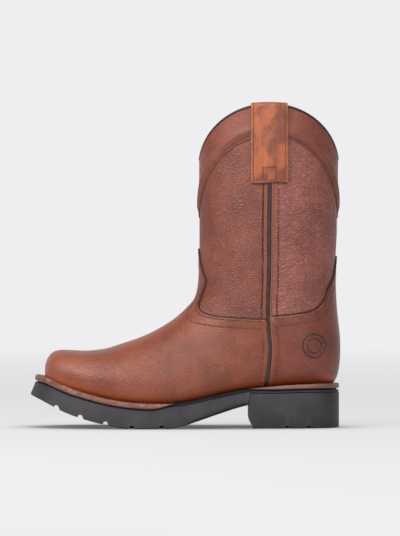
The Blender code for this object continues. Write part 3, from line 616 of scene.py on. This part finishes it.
def rod(name, points, radius, closed=False):
    """A round cord through points, as a mesh."""
    line = bpy.data.curves.new(name, "CURVE")
    line.dimensions, line.bevel_depth, line.bevel_resolution, line.use_fill_caps = "3D", radius, 3, True
    spline = line.splines.new("POLY")
    spline.points.add(len(points) - 1)
    for spot, point in zip(spline.points, points):
        spot.co = (*point, 1)
    spline.use_cyclic_u = closed
    piece = bpy.data.objects.new(name, line)
    bpy.context.scene.collection.objects.link(piece)
    pick(piece)
    bpy.ops.object.convert(target="MESH")
    bpy.ops.object.shade_smooth()
    return piece


def round_shaft(line, back, far, inward=0.0):
    """Places along a drawn edge, or a little way inside it, from one side seam round to the other."""
    run = np.gradient(line, axis=0)
    run /= np.linalg.norm(run, axis=1, keepdims=True)
    moved = line + np.column_stack([run[:, 1], -run[:, 0]]) * inward
    clear = np.linalg.norm(moved[:, None] - line[None], axis=2).min(axis=1) > abs(inward) - 0.25
    turns = [(degrees(girth / girth_mm), h / 1000) for girth, h in moved[clear]]
    turns = [(t, h) for t, h in turns if 0.5 < t < 179.5]
    mirrored = [(360 - t if back else -t, h) for t, h in turns]
    both = turns + mirrored[::-1] if back else mirrored[::-1] + turns
    kept = []
    for turn, height in both:
        spot, facing = on_shaft(turn, height)
        beyond = (spot.x - toe_tip - float(seam_along(height)[0])) * (1 if back else -1)
        if beyond > far:
            kept.append((turn, height))
    return kept


for name, line, back in (("vamp_piping", vamp_line, False), ("counter_piping", counter_line, True)):
    path = [on_shaft(turn, height, 0.0014)[0] for turn, height in round_shaft(line, back, 0.0015)]
    edge_cord = rod(name, path, 0.0009)
    edge_cord.data.materials.append(black.material)
    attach(edge_cord, "root")


# Stitching. Waxed thread in short stitches, pulled down into the leather: two rows along each top edge,
# one on each side of the seam, one along the foot of the collar band.
dark_thread = Finish("dark_thread", Base_Color=(0.045, 0.020, 0.013, 1), Roughness=0.6)
tan_thread = Finish("tan_thread", Base_Color=(0.15, 0.060, 0.030, 1), Roughness=0.6)


def even_places(points, step):
    """Rows at even steps along a line, whose place is in the first three columns."""
    walked = walked_along(points[:, :3])
    at = np.arange(step / 2, walked[-1], step)
    return np.column_stack([np.interp(at, walked, points[:, k]) for k in range(points.shape[1])])


def sew(name, lines, step, material, length=0.72, radius=0.00034):
    """Stitches along lines given as rows of a place and its outward normal."""
    bpy.ops.mesh.primitive_uv_sphere_add(segments=8, ring_count=6, radius=1)
    stitch = bpy.context.object
    shape = np.array([list(v.co) for v in stitch.data.vertices])
    sides = [tuple(p.vertices) for p in stitch.data.polygons]
    bpy.data.objects.remove(stitch)
    points, faces = [], []
    for line in lines:
        rows_at = even_places(np.array([[*p, *n] for p, n in line]), step)
        for k in range(1, len(rows_at) - 1):
            spot, up = rows_at[k, :3], rows_at[k, 3:] / np.linalg.norm(rows_at[k, 3:])
            ahead = rows_at[k + 1, :3] - rows_at[k - 1, :3]
            ahead /= np.linalg.norm(ahead)
            aside = np.cross(up, ahead)
            frame_of = np.array([ahead * step * length / 2, aside * radius, up * radius])
            faces += [tuple(i + len(points) for i in side) for side in sides]
            points += (shape @ frame_of + spot).tolist()
    piece = new_piece(name, points, faces)
    bpy.ops.object.shade_smooth()
    piece.data.materials.append(material)
    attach(piece, "root")


edge_rows = []
for line, back in ((vamp_line, False), (counter_line, True)):
    for inward, lift in ((first_row, 0.0021), (second_row, 0.0018)):
        places = round_shaft(line, back, 0.0028, inward)
        edge_rows.append([on_shaft(turn, height, lift) for turn, height in places])
sew("edge_stitching", edge_rows, 0.0030, dark_thread.material)
seam_stitches = []
for side in (-1, 1):
    for away in (-seam_row_front / 1000, seam_row_back / 1000):
        heights = np.linspace(0.050, 0.238, 90)
        seam_stitches.append([on_side(float(seam_along(z)[0]) + away, z, side, 0.0014) for z in heights])
sew("seam_stitching", seam_stitches, 0.0034, dark_thread.material)
band_rows = []
for side in (-1, 1):
    turns = [t * side for t in np.linspace(3, 177, 160)]
    row = [(t, band_low + (band_high - band_low) * abs(sin(radians(t))) + band_row / 1000) for t in turns]
    band_rows.append([on_shaft(turn, height, 0.0020) for turn, height in row])
sew("band_stitching", band_rows, 0.0033, tan_thread.material)


# Side seam. A dark leather cord stands in the seam on both sides, from the pull strap to the welt, with
# the thin orange-brown lip of the rear panel beside it.
seam_cord = Finish("seam_cord", Roughness=0.42, Specular_IOR_Level=0.4)
cord_grain = seam_cord.noise(0.0012, detail=3.0)
cord_cloud = seam_cord.noise(0.012)
seam_cord.feed(
    seam_cord.blend(cord_cloud.between(0.35, 0.75), (0.018, 0.011, 0.010), (0.040, 0.025, 0.022)),
    0.38 + cord_grain * 0.2, cord_grain, 0.0001,
)
lip_leather = Finish("seam_lip", Base_Color=(0.24, 0.075, 0.030, 1), Roughness=0.45)
seam_foot, seam_head, under_strap = 0.0415, 0.2425, 0.246
heights = np.concatenate([np.linspace(seam_foot, seam_head, 110), [under_strap]])
for side, name in ((-1, "outer"), (1, "inner")):
    path = [on_side(float(seam_along(z)[0]), z, side, 0.0013)[0] for z in heights]
    cord = rod("seam_cord_" + name, path, 0.0019)
    cord.data.materials.append(seam_cord.material)
    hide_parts("piping_" + name)
    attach(cord, "root")
    path = [on_side(float(seam_along(z)[0]) + 0.0024, z, side, 0.0016)[0] for z in heights]
    lip = rod("seam_lip_" + name, path, 0.0007)
    lip.data.materials.append(lip_leather.material)
    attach(lip, "root")


# Collar binding. A dark strip of thin leather, folded over the scalloped rim from the band to the lining and
# sewn through both.
rim = [Vector(p) + Vector(n) * 0.0001 - Vector((0, 0, 0.0005)) for p, n in zip(last[-1], normal[-1])]
binding = rod("collar_binding", rim, 0.0016, closed=True)
binding_leather = Finish("binding_leather", Roughness=0.5, Specular_IOR_Level=0.3)
bound = binding_leather.noise(0.004, detail=3.0)
binding.data.materials.append(binding_leather.feed(
    binding_leather.blend(bound, (0.022, 0.010, 0.008), (0.050, 0.020, 0.014)), 0.45 + bound * 0.15, bound, 0.0001
))
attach(binding, "root")


# Pull straps. A wide orange-tan strap over each side of the collar, sewn down outside and inside: lines
# along both edges and a box at its lower end.
strap_width, strap_wall, strap_foot, strap_inside_foot = 0.0355, 0.0019, 0.2400, 0.2600
edge_row, box_half, box_rise = 2.3, 6.5, 8.5
outside_steps, over_steps, inside_steps = 46, 13, 34
strap = Finish("strap_leather", Specular_IOR_Level=0.5)
strap_cloud = strap.noise(0.014, stretch=(1, 1, 0.7), detail=5.0, rough=0.6)
strap_grain = strap.pebbles(0.0010)
strap_edge = strap.mark("edge")
strap_pressed = 1 - strap.mark("stitch").between(0.15, 1.0)
strap_colour = strap.blend(strap_cloud.between(0.38, 0.64), (0.150, 0.028, 0.008), (0.335, 0.080, 0.023))
strap_colour = strap.blend((1 - strap_edge.between(0.0, 1.6)) * 0.5, strap_colour, (0.34, 0.13, 0.065))
strap_colour = strap.blend(strap_pressed * 0.6, strap_colour, (0.10, 0.026, 0.012))
strap_folds = strap.noise(0.008, stretch=(1.3, 1.3, 0.6), detail=2.0)
strap_height = strap_grain.between(0.0, 0.35) * 0.4 + strap_folds * 4.0 + strap.noise(0.0006) * 0.3
strap_height = strap_height - strap_pressed * 2.0
strap.feed(strap_colour, 0.30 + strap_cloud * 0.12, strap_height, 0.00022)
strap_stitches = []
for side, name in ((-1, "outer"), (1, "inner")):
    across = np.linspace(-1, 1, 29)
    points, edge_mark, stitch_mark = [], [], []
    for u in across:
        along = seam_middle + u * strap_width / 2
        turn = np.arccos(np.clip(-u * strap_width / shaft_depth, -1, 1))
        below_rim = rim_height(sin(turn)) - 0.0006
        top_z = collar_peak - 0.0034 - 0.0008 * u**2
        crown = 0.0011 * (1 - u**2)
        wave = 0.0006 * sin(3.0 * u + 0.4)
        column = []
        for t in np.linspace(0, 1, outside_steps):
            z = strap_foot + wave + (top_z - strap_foot - wave) * t
            swell = crown * (0.25 + 0.75 * sin(pi * min(t * 1.15, 1)))
            swell += 0.0005 * np.exp(-(((u - 0.10 - 0.10 * sin(5 * t)) / 0.14) ** 2)) * sin(pi * t)
            swell -= 0.0004 * np.exp(-(((u + 0.22 + 0.08 * sin(7 * t)) / 0.10) ** 2)) * sin(pi * t)
            column.append((on_side(along, min(z, below_rim), side, 0.0024 + swell)[0].y, z))
        wall_y = column[-1][0] - side * 0.0026
        for t in np.linspace(0, pi, over_steps)[1:-1]:
            column.append((wall_y + side * 0.0028 * cos(t), top_z + 0.0036 * sin(t)))
        for t in np.linspace(1, 0, inside_steps):
            z = strap_inside_foot + wave + (top_z - strap_inside_foot - wave) * t
            column.append((on_side(along, min(z, below_rim), side, -0.0024)[0].y, z))
        for k, (y, z) in enumerate(column):
            points.append((along + toe_tip, y, z))
            from_edge = (1 - abs(u)) * strap_width / 2 * 1000
            from_foot = (z - strap_foot) * 1000 if k < outside_steps else 50.0
            box = max(abs(u) * strap_width / 2 * 1000 - box_half, abs(from_foot - box_rise) - box_half)
            stitch_mark.append(min(abs(from_edge - edge_row), abs(box), 9))
            edge_mark.append(min(from_edge, from_foot, 20))
    tall = len(points) // len(across)
    faces = [
        (i * tall + j, i * tall + j + 1, (i + 1) * tall + j + 1, (i + 1) * tall + j)[:: -side]
        for i in range(len(across) - 1) for j in range(tall - 1)
    ]
    pull = new_piece("strap_" + name, points, faces, {"edge": edge_mark, "stitch": stitch_mark})
    outside_face = pull.data.polygons[(len(across) // 2) * (tall - 1) + 10]
    if outside_face.normal.y * side < 0:
        pull.data.flip_normals()
    finish_with(pull, "SOLIDIFY", thickness=strap_wall, offset=1.0)
    finish_with(pull, "BEVEL", width=0.0006, segments=3, limit_method="ANGLE", angle_limit=radians(50))
    pick(pull)
    bpy.ops.object.shade_smooth_by_angle(angle=radians(50))
    pull.data.materials.append(strap.material)
    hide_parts("pull_strap_" + name)
    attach(pull, "root")
    surface = BVHTree.FromObject(pull, bpy.context.evaluated_depsgraph_get())
    box_turns = np.array([(-1, -1), (1, -1), (1, 1), (-1, 1), (-1, -1)])
    box_line = (box_turns * box_half + (0, box_rise)) / 1000
    rises, edge_place = np.linspace(0.002, 0.072, 40), strap_width / 2 - edge_row / 1000
    edges = [[(u * edge_place, rise) for rise in rises] for u in (-1, 1)]
    for row in edges + [even_places(box_line, 0.0012)]:
        sewn = []
        for away, rise in row:
            start = Vector((seam_middle + away + toe_tip, side * 0.2, strap_foot + rise))
            spot, facing = surface.ray_cast(start, Vector((0, -side, 0)))[:2]
            sewn.append((spot + facing * 0.0001, facing))
        strap_stitches.append(sewn)
sew("strap_stitching", strap_stitches, 0.0029, tan_thread.material)


# Sole edge. The line that the welt, rand and sole share: the bottom of the last grown by the sole's margin,
# widest at the toe. Each sole piece is a rounded section led round it.

# Place along the foot, outer and inner half width round a bow, and swing, in half widths of the ball.
footprint = [
    (0.00, 1.50, 1.46, 0.08), (0.05, 1.44, 1.38, 0.07), (0.10, 1.36, 1.28, 0.05), (0.20, 1.215, 1.13, 0.02),
    (0.30, 1.10, 1.01, 0.00), (0.40, 1.00, 0.90, -0.02), (0.50, 0.90, 0.78, -0.03), (0.60, 0.82, 0.70, -0.03),
    (0.70, 0.79, 0.74, -0.01), (0.80, 0.88, 0.86, 0.00), (0.90, 1.12, 1.11, 0.00), (1.00, 1.46, 1.46, 0.00),
]
sole_margin = [
    (0, 0.0113), (0.04, 0.0095), (0.12, 0.0068), (0.32, 0.0052), (0.58, 0.0045), (0.80, 0.0022), (1.00, 0.0005),
]
tread_line = [
    (-0.10, 1.45, 0.00), (0.00, 1.00, 0.00), (0.08, 0.58, 0.00), (0.16, 0.29, 0.00), (0.235, 0.10, 0.00),
    (0.295, 0.00, 0.00), (0.35, 0.00, 0.00), (0.405, 0.00, 0.00), (0.46, 0.00, 0.09), (0.52, 0.00, 0.31),
    (0.60, 0.00, 0.64), (0.66, 0.00, 0.87), (0.70, 0.00, 1.00), (1.10, 0.00, 1.00),
]
arch_rise, sole_flare, side_flare = 0.0235, 0.0045, 0.0012
welt_end, rand_start, heel_breast = 0.1285, 0.2000, 0.1990
welt_lip, welt_thickness, welt_thins, rand_lip = 0.0019, 0.0051, 0.104, 0.0013
sole_groove, sole_under_heel = 0.0016, 0.0036
rand_thickness = [(0.198, 0.0), (0.206, 0.0012), (0.222, 0.0032), (0.250, 0.0043), (0.290, 0.0050)]


def sole_line(count):
    """Round the sole from the heel's back: along, across and outward, evenly stepped and grown by its margin."""
    s = (1 - np.cos(np.linspace(0, pi, 300))) / 2
    outer, inner, swing = smooth_rows(footprint, s).T
    bow = 2 * np.sqrt(s * (1 - s))
    sides = [
        np.column_stack([s * foot_length, ball_width / 2 * (swing + side * half * bow), s])
        for side, half in ((-1, outer), (1, inner))
    ]
    ring = np.vstack([sides[0][::-1], sides[1][1:-1]])
    ahead = np.roll(ring, -1, axis=0) - np.roll(ring, 1, axis=0)
    out = np.column_stack([ahead[:, 1], -ahead[:, 0]])
    out /= np.linalg.norm(out, axis=1, keepdims=True)
    if np.sum(out[:, 0] * (ring[:, 0] - foot_length / 2)) < 0:
        out = -out
    ring[:, :2] += out * smooth_rows(sole_margin, ring[:, 2])
    loop = np.column_stack([ring[:, :2], out])
    loop = np.vstack([loop, loop[:1]])
    walked = walked_along(loop[:, :2])
    at = np.linspace(0, walked[-1], count + 1)[:-1]
    even = np.column_stack([np.interp(at, walked, loop[:, k]) for k in range(4)])
    even[:, 2:] /= np.linalg.norm(even[:, 2:], axis=1, keepdims=True)
    return even


def led_round(name, line, section, closed, painted_shade_rows=()):
    """A section led along a line of the sole, with rows of inset, height and share of the toe's flare."""
    table = np.array([section(along) for along in line[:, 0]])
    inset, height, flare = table[..., 0], table[..., 1], table[..., 2]
    x = line[:, 0:1] - line[:, 2:3] * inset
    y = line[:, 1:2] - line[:, 3:4] * inset
    x = x - flare * np.maximum(0, 1 - x / welt_end) * sole_flare
    y = y + flare * side_flare * np.clip(y / (ball_width / 4), -1, 1)
    points = np.dstack([x + toe_tip, y + middle_plane, height])
    stations, tall = points.shape[:2]
    across = range(stations if closed else stations - 1)
    around = range(tall - 1) if closed else range(tall)
    faces = []
    for i in across:
        here, there = i * tall, (i + 1) % stations * tall
        faces += [(here + j, here + (j + 1) % tall, there + (j + 1) % tall, there + j) for j in around]
    if closed:
        pairs = [(i, stations - i) for i in range(1, stations // 2)]
        (first, last_one), (near_end, far_end) = pairs[0], pairs[-1]
        for j in (0, tall - 1):
            lids = [(a, c, d, b) for (a, b), (c, d) in zip(pairs, pairs[1:])]
            lids += [(0, first, last_one), (near_end, stations // 2, far_end)]
            faces += [tuple(i * tall + j for i in lid) for lid in lids]
    else:
        faces += [tuple(range(tall)), tuple(range((stations - 1) * tall, stations * tall))]
    piece = new_piece(name, points.reshape(-1, 3).tolist(), faces)
    # Faces in the painted shade rows take the second material, a near-black painted shade.
    for k in range(len(across) * len(around)):
        piece.data.polygons[k].material_index = int(k % len(around) in painted_shade_rows)
    turn_outward(piece)
    bpy.ops.object.shade_smooth_by_angle(angle=radians(38))
    return piece


def seat_at(along):
    """Height of the foot's seat at one place."""
    return float(seat(along)[0])


def welt_under(along):
    """Underside of the welt, which thins out towards its tips in the waist."""
    return seat_at(along) + welt_lip - welt_thickness * (1 - smooth_step(along, welt_thins, welt_end + 0.001))


def rand_under(along):
    """Underside of the heel rand, a wedge that thickens backwards."""
    return seat_at(along) + rand_lip - float(smooth_rows(rand_thickness, along)[0, 0])


def in_turn(inside):
    """The part of the sole's edge where a condition holds, from one of its ends round to the other."""
    start = int(np.argmax(inside & ~np.roll(inside, 1)))
    return np.roll(sole_edge, -start, axis=0)[: int(inside.sum())]


sole_edge = sole_line(300)


# Welt. A brown leather strip stitched round the forefoot between upper and outsole, thinning to a tip
# on each side of the waist.
def welt_section(along):
    top, low = seat_at(along) + welt_lip, welt_under(along)
    thin = max(top - low, 0.0004)
    soft = min(0.0009, thin * 0.35)
    return [
        (0.0170, top - 0.0022, 0), (0.0060, top - 0.0004, 0), (0.0020, top, 0), (soft, top - soft * 0.2, 0),
        (soft * 0.3, top - soft * 0.55, 0), (0.0, top - thin * 0.42, 0), (0.0001, low + soft * 0.8, 0),
        (soft * 0.6, low + 0.0001, 0), (0.0170, low, 0),
    ]


welt_edge = in_turn(sole_edge[:, 0] < welt_end)
welt = led_round("welt_strip", welt_edge, welt_section, closed=False)
welt_mix = Finish("welt_leather", Roughness=0.55)
layers = welt_mix.noise(0.0035, stretch=(0.12, 0.12, 2.5), detail=4.0, rough=0.65)
worn = welt_mix.noise(0.010, stretch=(1, 1, 2.0), detail=4.0, rough=0.6)
tone = welt_mix.blend(layers.between(0.3, 0.7), (0.110, 0.040, 0.028), (0.200, 0.072, 0.048))
tone = welt_mix.blend(worn.between(0.45, 0.75) * 0.8, tone, (0.34, 0.14, 0.10))
welt.data.materials.append(welt_mix.feed(tone, 0.5 + layers * 0.2, layers + worn * 0.3, 0.0003))
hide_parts("welt")
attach(welt, "root")
row_inset, bare_stations, upward = 0.0026, 4, Vector((0, 0, 1))
welt_row = [
    (Vector((x - nx * row_inset + toe_tip, y - ny * row_inset + middle_plane, seat_at(x) + welt_lip)), upward)
    for x, y, nx, ny in welt_edge[bare_stations:-bare_stations]
]
sew("welt_stitching", [welt_row], 0.0042, tan_thread.material, length=0.78, radius=0.0004)


# Heel rand. A leather wedge strip of the same kind as the welt, glued between the counter and the sole round
# the heel. It thickens backwards.
def rand_section(along):
    top, low = seat_at(along) + rand_lip, rand_under(along)
    thin = max(top - low, 0.0004)
    soft = min(0.0007, thin * 0.35)
    return [
        (0.0120, top - 0.0012, 0), (0.0015, top, 0), (soft, top - soft * 0.15, 0), (soft * 0.3, top - soft * 0.55, 0),
        (0.0, top - thin * 0.45, 0), (0.0001, low + soft * 0.7, 0), (soft, low + 0.0001, 0), (0.0120, low, 0),
    ]


rand = led_round("rand_strip", in_turn(sole_edge[:, 0] > rand_start), rand_section, closed=False)
rand_mix = Finish("rand_leather", Roughness=0.5)
layers = rand_mix.noise(0.004, stretch=(0.2, 0.2, 2.2), detail=4.0, rough=0.6)
tone = rand_mix.blend(layers.between(0.3, 0.72), (0.125, 0.048, 0.038), (0.20, 0.085, 0.068))
rand.data.materials.append(rand_mix.feed(tone, 0.42 + layers * 0.18, layers, 0.0002))
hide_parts("heel_rand")
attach(rand, "root")


# Outsole. One piece of black nitrile rubber from toe to heel, thick under the ball, thin in the waist and
# under the heel block, with wide grooves moulded across the forefoot. The groove walls and the gap under
# the welt and rand are near-black, as painted shade.
rubber = Finish("nitrile_rubber", Roughness=0.5, Specular_IOR_Level=0.4)
dust = rubber.noise(0.020, detail=5.0, rough=0.6)
scuff = rubber.noise(0.004, stretch=(0.5, 0.5, 1.5), detail=4.0, rough=0.65)
tone = rubber.blend(dust.between(0.3, 0.75), (0.020, 0.017, 0.020), (0.036, 0.031, 0.036))
tone = rubber.blend(scuff.between(0.55, 0.8) * 0.5, tone, (0.060, 0.052, 0.057))
rubber.feed(tone, 0.46 + dust * 0.12 + scuff * 0.1, scuff + rubber.noise(0.0008) * 0.3, 0.00018)

# Painted shade: a near-black rubber for the walls of cut grooves and the gap rows, where shade falls.
groove_shade = Finish("groove_shade_rubber", Base_Color=(0.006, 0.005, 0.006, 1), Roughness=0.6, Specular_IOR_Level=0.2)


def tread_at(along):
    """Height of the tread, which rises at the toe and under the waist."""
    toe, arch = smooth_rows(tread_line, along / foot_length)[0]
    return toe_spring * max(0, toe) + arch_rise * max(0, arch)


mid_waist = 0.165


def outsole_section(along):
    top = welt_under(along) if along < mid_waist else rand_under(along)
    on_heel = smooth_step(along, heel_breast, heel_breast + 0.0015)
    low = tread_at(along) + (rand_under(along) - sole_under_heel - tread_at(along)) * on_heel
    deep = top - low
    soft = min(0.0012, deep * 0.3)
    waist = smooth_step(along, 0.112, 0.134) * (1 - smooth_step(along, 0.196, 0.212))
    groove = sole_groove + 0.0012 * waist + 0.0014 * smooth_step(along, heel_breast, 0.215)
    under = 0.0028 * smooth_step(along, 0.130, 0.150) * (1 - smooth_step(along, heel_breast - 0.004, heel_breast))
    return [
        (0.0150, top, 0), (0.0026 + 0.0006 * waist, top, 0), (0.0023 + 0.0006 * waist, top - groove, 0),
        (0.0010, top - groove - 0.0001, 0), (0.0004, top - groove - soft * 0.4, 0.05),
        (0.0003, low + deep * 0.5, 0.45),
        (0.0002, low + soft * 1.4 + under, 0.9), (0.0004 + under * 0.1, low + soft * 0.6 + under * 0.8, 1.0),
        (0.0010 + under, low + soft * 0.15, 1.0), (0.0020 + under, low, 1.0), (0.0150, low, 0.6),
    ]


def cut_with(piece, cutter, operation):
    """A boolean with a cutter that is then removed."""
    finish_with(piece, "BOOLEAN", operation=operation, object=cutter, solver="EXACT", material_mode="TRANSFER")
    bpy.data.objects.remove(cutter)


def bar(corners, near=-0.1, far=0.1, plain=False):
    """A bar across the boot from its side outline, whose faces leave near-black rubber as painted shade in the cut,
    unless it is plain.
    """
    points = [(x + toe_tip, y, z) for y in (near, far) for x, z in corners]
    count = len(corners)
    faces = [tuple(range(count)), tuple(range(2 * count - 1, count - 1, -1))]
    faces += [(k, count + k, count + (k + 1) % count, (k + 1) % count) for k in range(count)]
    cutter = new_piece("cutter", points, faces)
    for material in (rubber.material, groove_shade.material):
        cutter.data.materials.append(material)
    for side in cutter.data.polygons:
        side.material_index = 0 if plain else 1
    turn_outward(cutter)
    return cutter


# The top rows, in the gap under the welt and rand, take the painted shade.
outsole = led_round("rubber_outsole", sole_edge, outsole_section, closed=True, painted_shade_rows=(0, 1, 2))
outsole.data.materials.append(rubber.material)
outsole.data.materials.append(groove_shade.material)
notch_half, notch_deep, blind_from = 0.0030, 0.0034, 0.07
for along in (0.0110, 0.0346, 0.0594, 0.0848, 0.1140):
    tread_z = tread_at(along + (1 - along / welt_end) * sole_flare)
    side_shape = [
        (notch_half + 0.0010, -0.004), (notch_half, 0.0004), (notch_half - 0.0012, notch_deep - 0.0007),
        (notch_half - 0.0019, notch_deep),
    ]
    notch = [(along - away, tread_z + up) for away, up in side_shape]
    notch += [(along + away, tread_z + up) for away, up in reversed(side_shape)]
    for near, far in ((-0.1, 0.1),) if along < blind_from else ((-0.1, -0.030), (0.026, 0.1)):
        cut_with(outsole, bar(notch, near, far), "DIFFERENCE")
pick(outsole)
bpy.ops.object.shade_smooth_by_angle(angle=radians(35))
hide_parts("outsole")
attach(outsole, "root")


# Heel. A block of the same rubber with a chamfered breast, glued under the sole, with two round grooves
# across its tread.
def heel_section(along):
    top = rand_under(max(along, heel_breast + 0.002)) - sole_under_heel
    return [
        (0.0150, top, 0), (0.0007, top, 0), (0.0002, top - 0.0004, 0), (0.0, top - 0.0016, 0), (0.0, top * 0.5, 0),
        (0.0, 0.0016, 0), (0.0004, 0.0006, 0), (0.0014, 0.0, 0), (0.0150, 0.0, 0),
    ]


# Painted shade: the top rows, at the joint under the sole, and the walls of the grooves take the near-black rubber.
heel = led_round("rubber_heel", sole_edge, heel_section, closed=True, painted_shade_rows=(0, 1))
heel.data.materials.append(rubber.material)
heel.data.materials.append(groove_shade.material)
breast = [(0.0045, -0.002), (0.0040, 0.0012), (0.0006, 0.0075), (0, 0.0095)]
breast += [(0, 0.08), (0.121, 0.08), (0.121, -0.002)]
cut_with(heel, bar([(heel_breast + away, up) for away, up in breast], plain=True), "INTERSECT")
groove_radius = 0.0026
for along in (0.2367, 0.2576):
    arch = [(along + groove_radius * cos(pi * t / 10), groove_radius * sin(pi * t / 10)) for t in range(11)]
    arch += [(along - groove_radius, -0.01), (along + groove_radius, -0.01)]
    for near, far in ((-0.1, -0.024), (0.024, 0.1)):
        cut_with(heel, bar(arch, near, far), "DIFFERENCE")
pick(heel)
bpy.ops.object.shade_smooth_by_angle(angle=radians(35))
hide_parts("heel")
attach(heel, "root")


# Studio. A pale seamless sweep that glows, as overexposed paper does, with a painted shadow where the sole
# stands on it. Large soft lights, and a level camera on the boot's outer side.
bpy.ops.mesh.primitive_grid_add(x_subdivisions=1, y_subdivisions=90, size=2)
sweep_start, sweep_radius = 5.0, 2.0
sweep = bpy.context.object
sweep.name = "sweep"
for vertex in sweep.data.vertices:
    run = -7.0 + 9.5 * (vertex.co.y + 1)
    bend = max(0.0, run - sweep_start)
    turn = min(bend / sweep_radius, pi / 2)
    rise = sweep_radius * (1 - cos(turn)) + max(0.0, bend - sweep_radius * pi / 2)
    vertex.co = Vector((vertex.co.x * 7.0, min(run, sweep_start + sweep_radius * sin(turn)), rise))
bpy.ops.object.shade_smooth()
paper = Finish("paper", Base_Color=(0.13, 0.13, 0.132, 1), Roughness=1.0, Specular_IOR_Level=0.0)
far = paper.node("ShaderNodeSeparateXYZ", {}, {"Vector": paper.spot()}, 1).between(0.1, 4.5)
glow = paper.blend(far, (0.632, 0.632, 0.646), (0.795, 0.795, 0.810))
# Painted shadow: the glow is dimmed where the boot covers the paper from above.
open_above = paper.node("ShaderNodeAmbientOcclusion", {"samples": 8}, {"Distance": 0.07}, 1)
glow = paper.blend(open_above.between(0.30, 1.0), (0.12, 0.12, 0.125), glow)
paper.tree.links.new(glow.socket, paper.shader.inputs["Emission Color"])
paper.shader.inputs["Emission Strength"].default_value = 1.0
sweep.data.materials.append(paper.material)

world = bpy.context.scene.world or bpy.data.worlds.new("studio")
bpy.context.scene.world = world
world.use_nodes = True
world.node_tree.nodes["Background"].inputs["Color"].default_value = (0.97, 0.97, 1.0, 1)
world.node_tree.nodes["Background"].inputs["Strength"].default_value = 0.30
for name, place, size, power, aim in (
    ("key", (-1.1, -1.2, 1.1), 0.7, 29, (0, 0, 0.15)),
    ("front", (0.5, -2.1, 1.1), 0.9, 24, (0, 0, 0.15)),
    ("top", (0.0, -0.4, 1.5), 0.8, 10, (0, 0, 0.1)),
):
    light = bpy.data.lights.new(name, "AREA")
    light.size, light.energy = size, power
    lamp = bpy.data.objects.new(name, light)
    lamp.location = place
    lamp.rotation_euler = (Vector(place) - Vector(aim)).to_track_quat("Z", "Y").to_euler()
    bpy.context.scene.collection.objects.link(lamp)

lens = bpy.data.cameras.new("camera")
lens.sensor_fit, lens.sensor_height, lens.sensor_width, lens.lens = "VERTICAL", 36.0, 36.0, 272.5
camera = bpy.data.objects.new("camera", lens)
camera.location, camera.rotation_euler = (0.0149, -4.0, 0.1568), (pi / 2, 0, 0)
bpy.context.scene.collection.objects.link(camera)
bpy.context.scene.camera = camera
bpy.context.scene.view_settings.view_transform = "Standard"
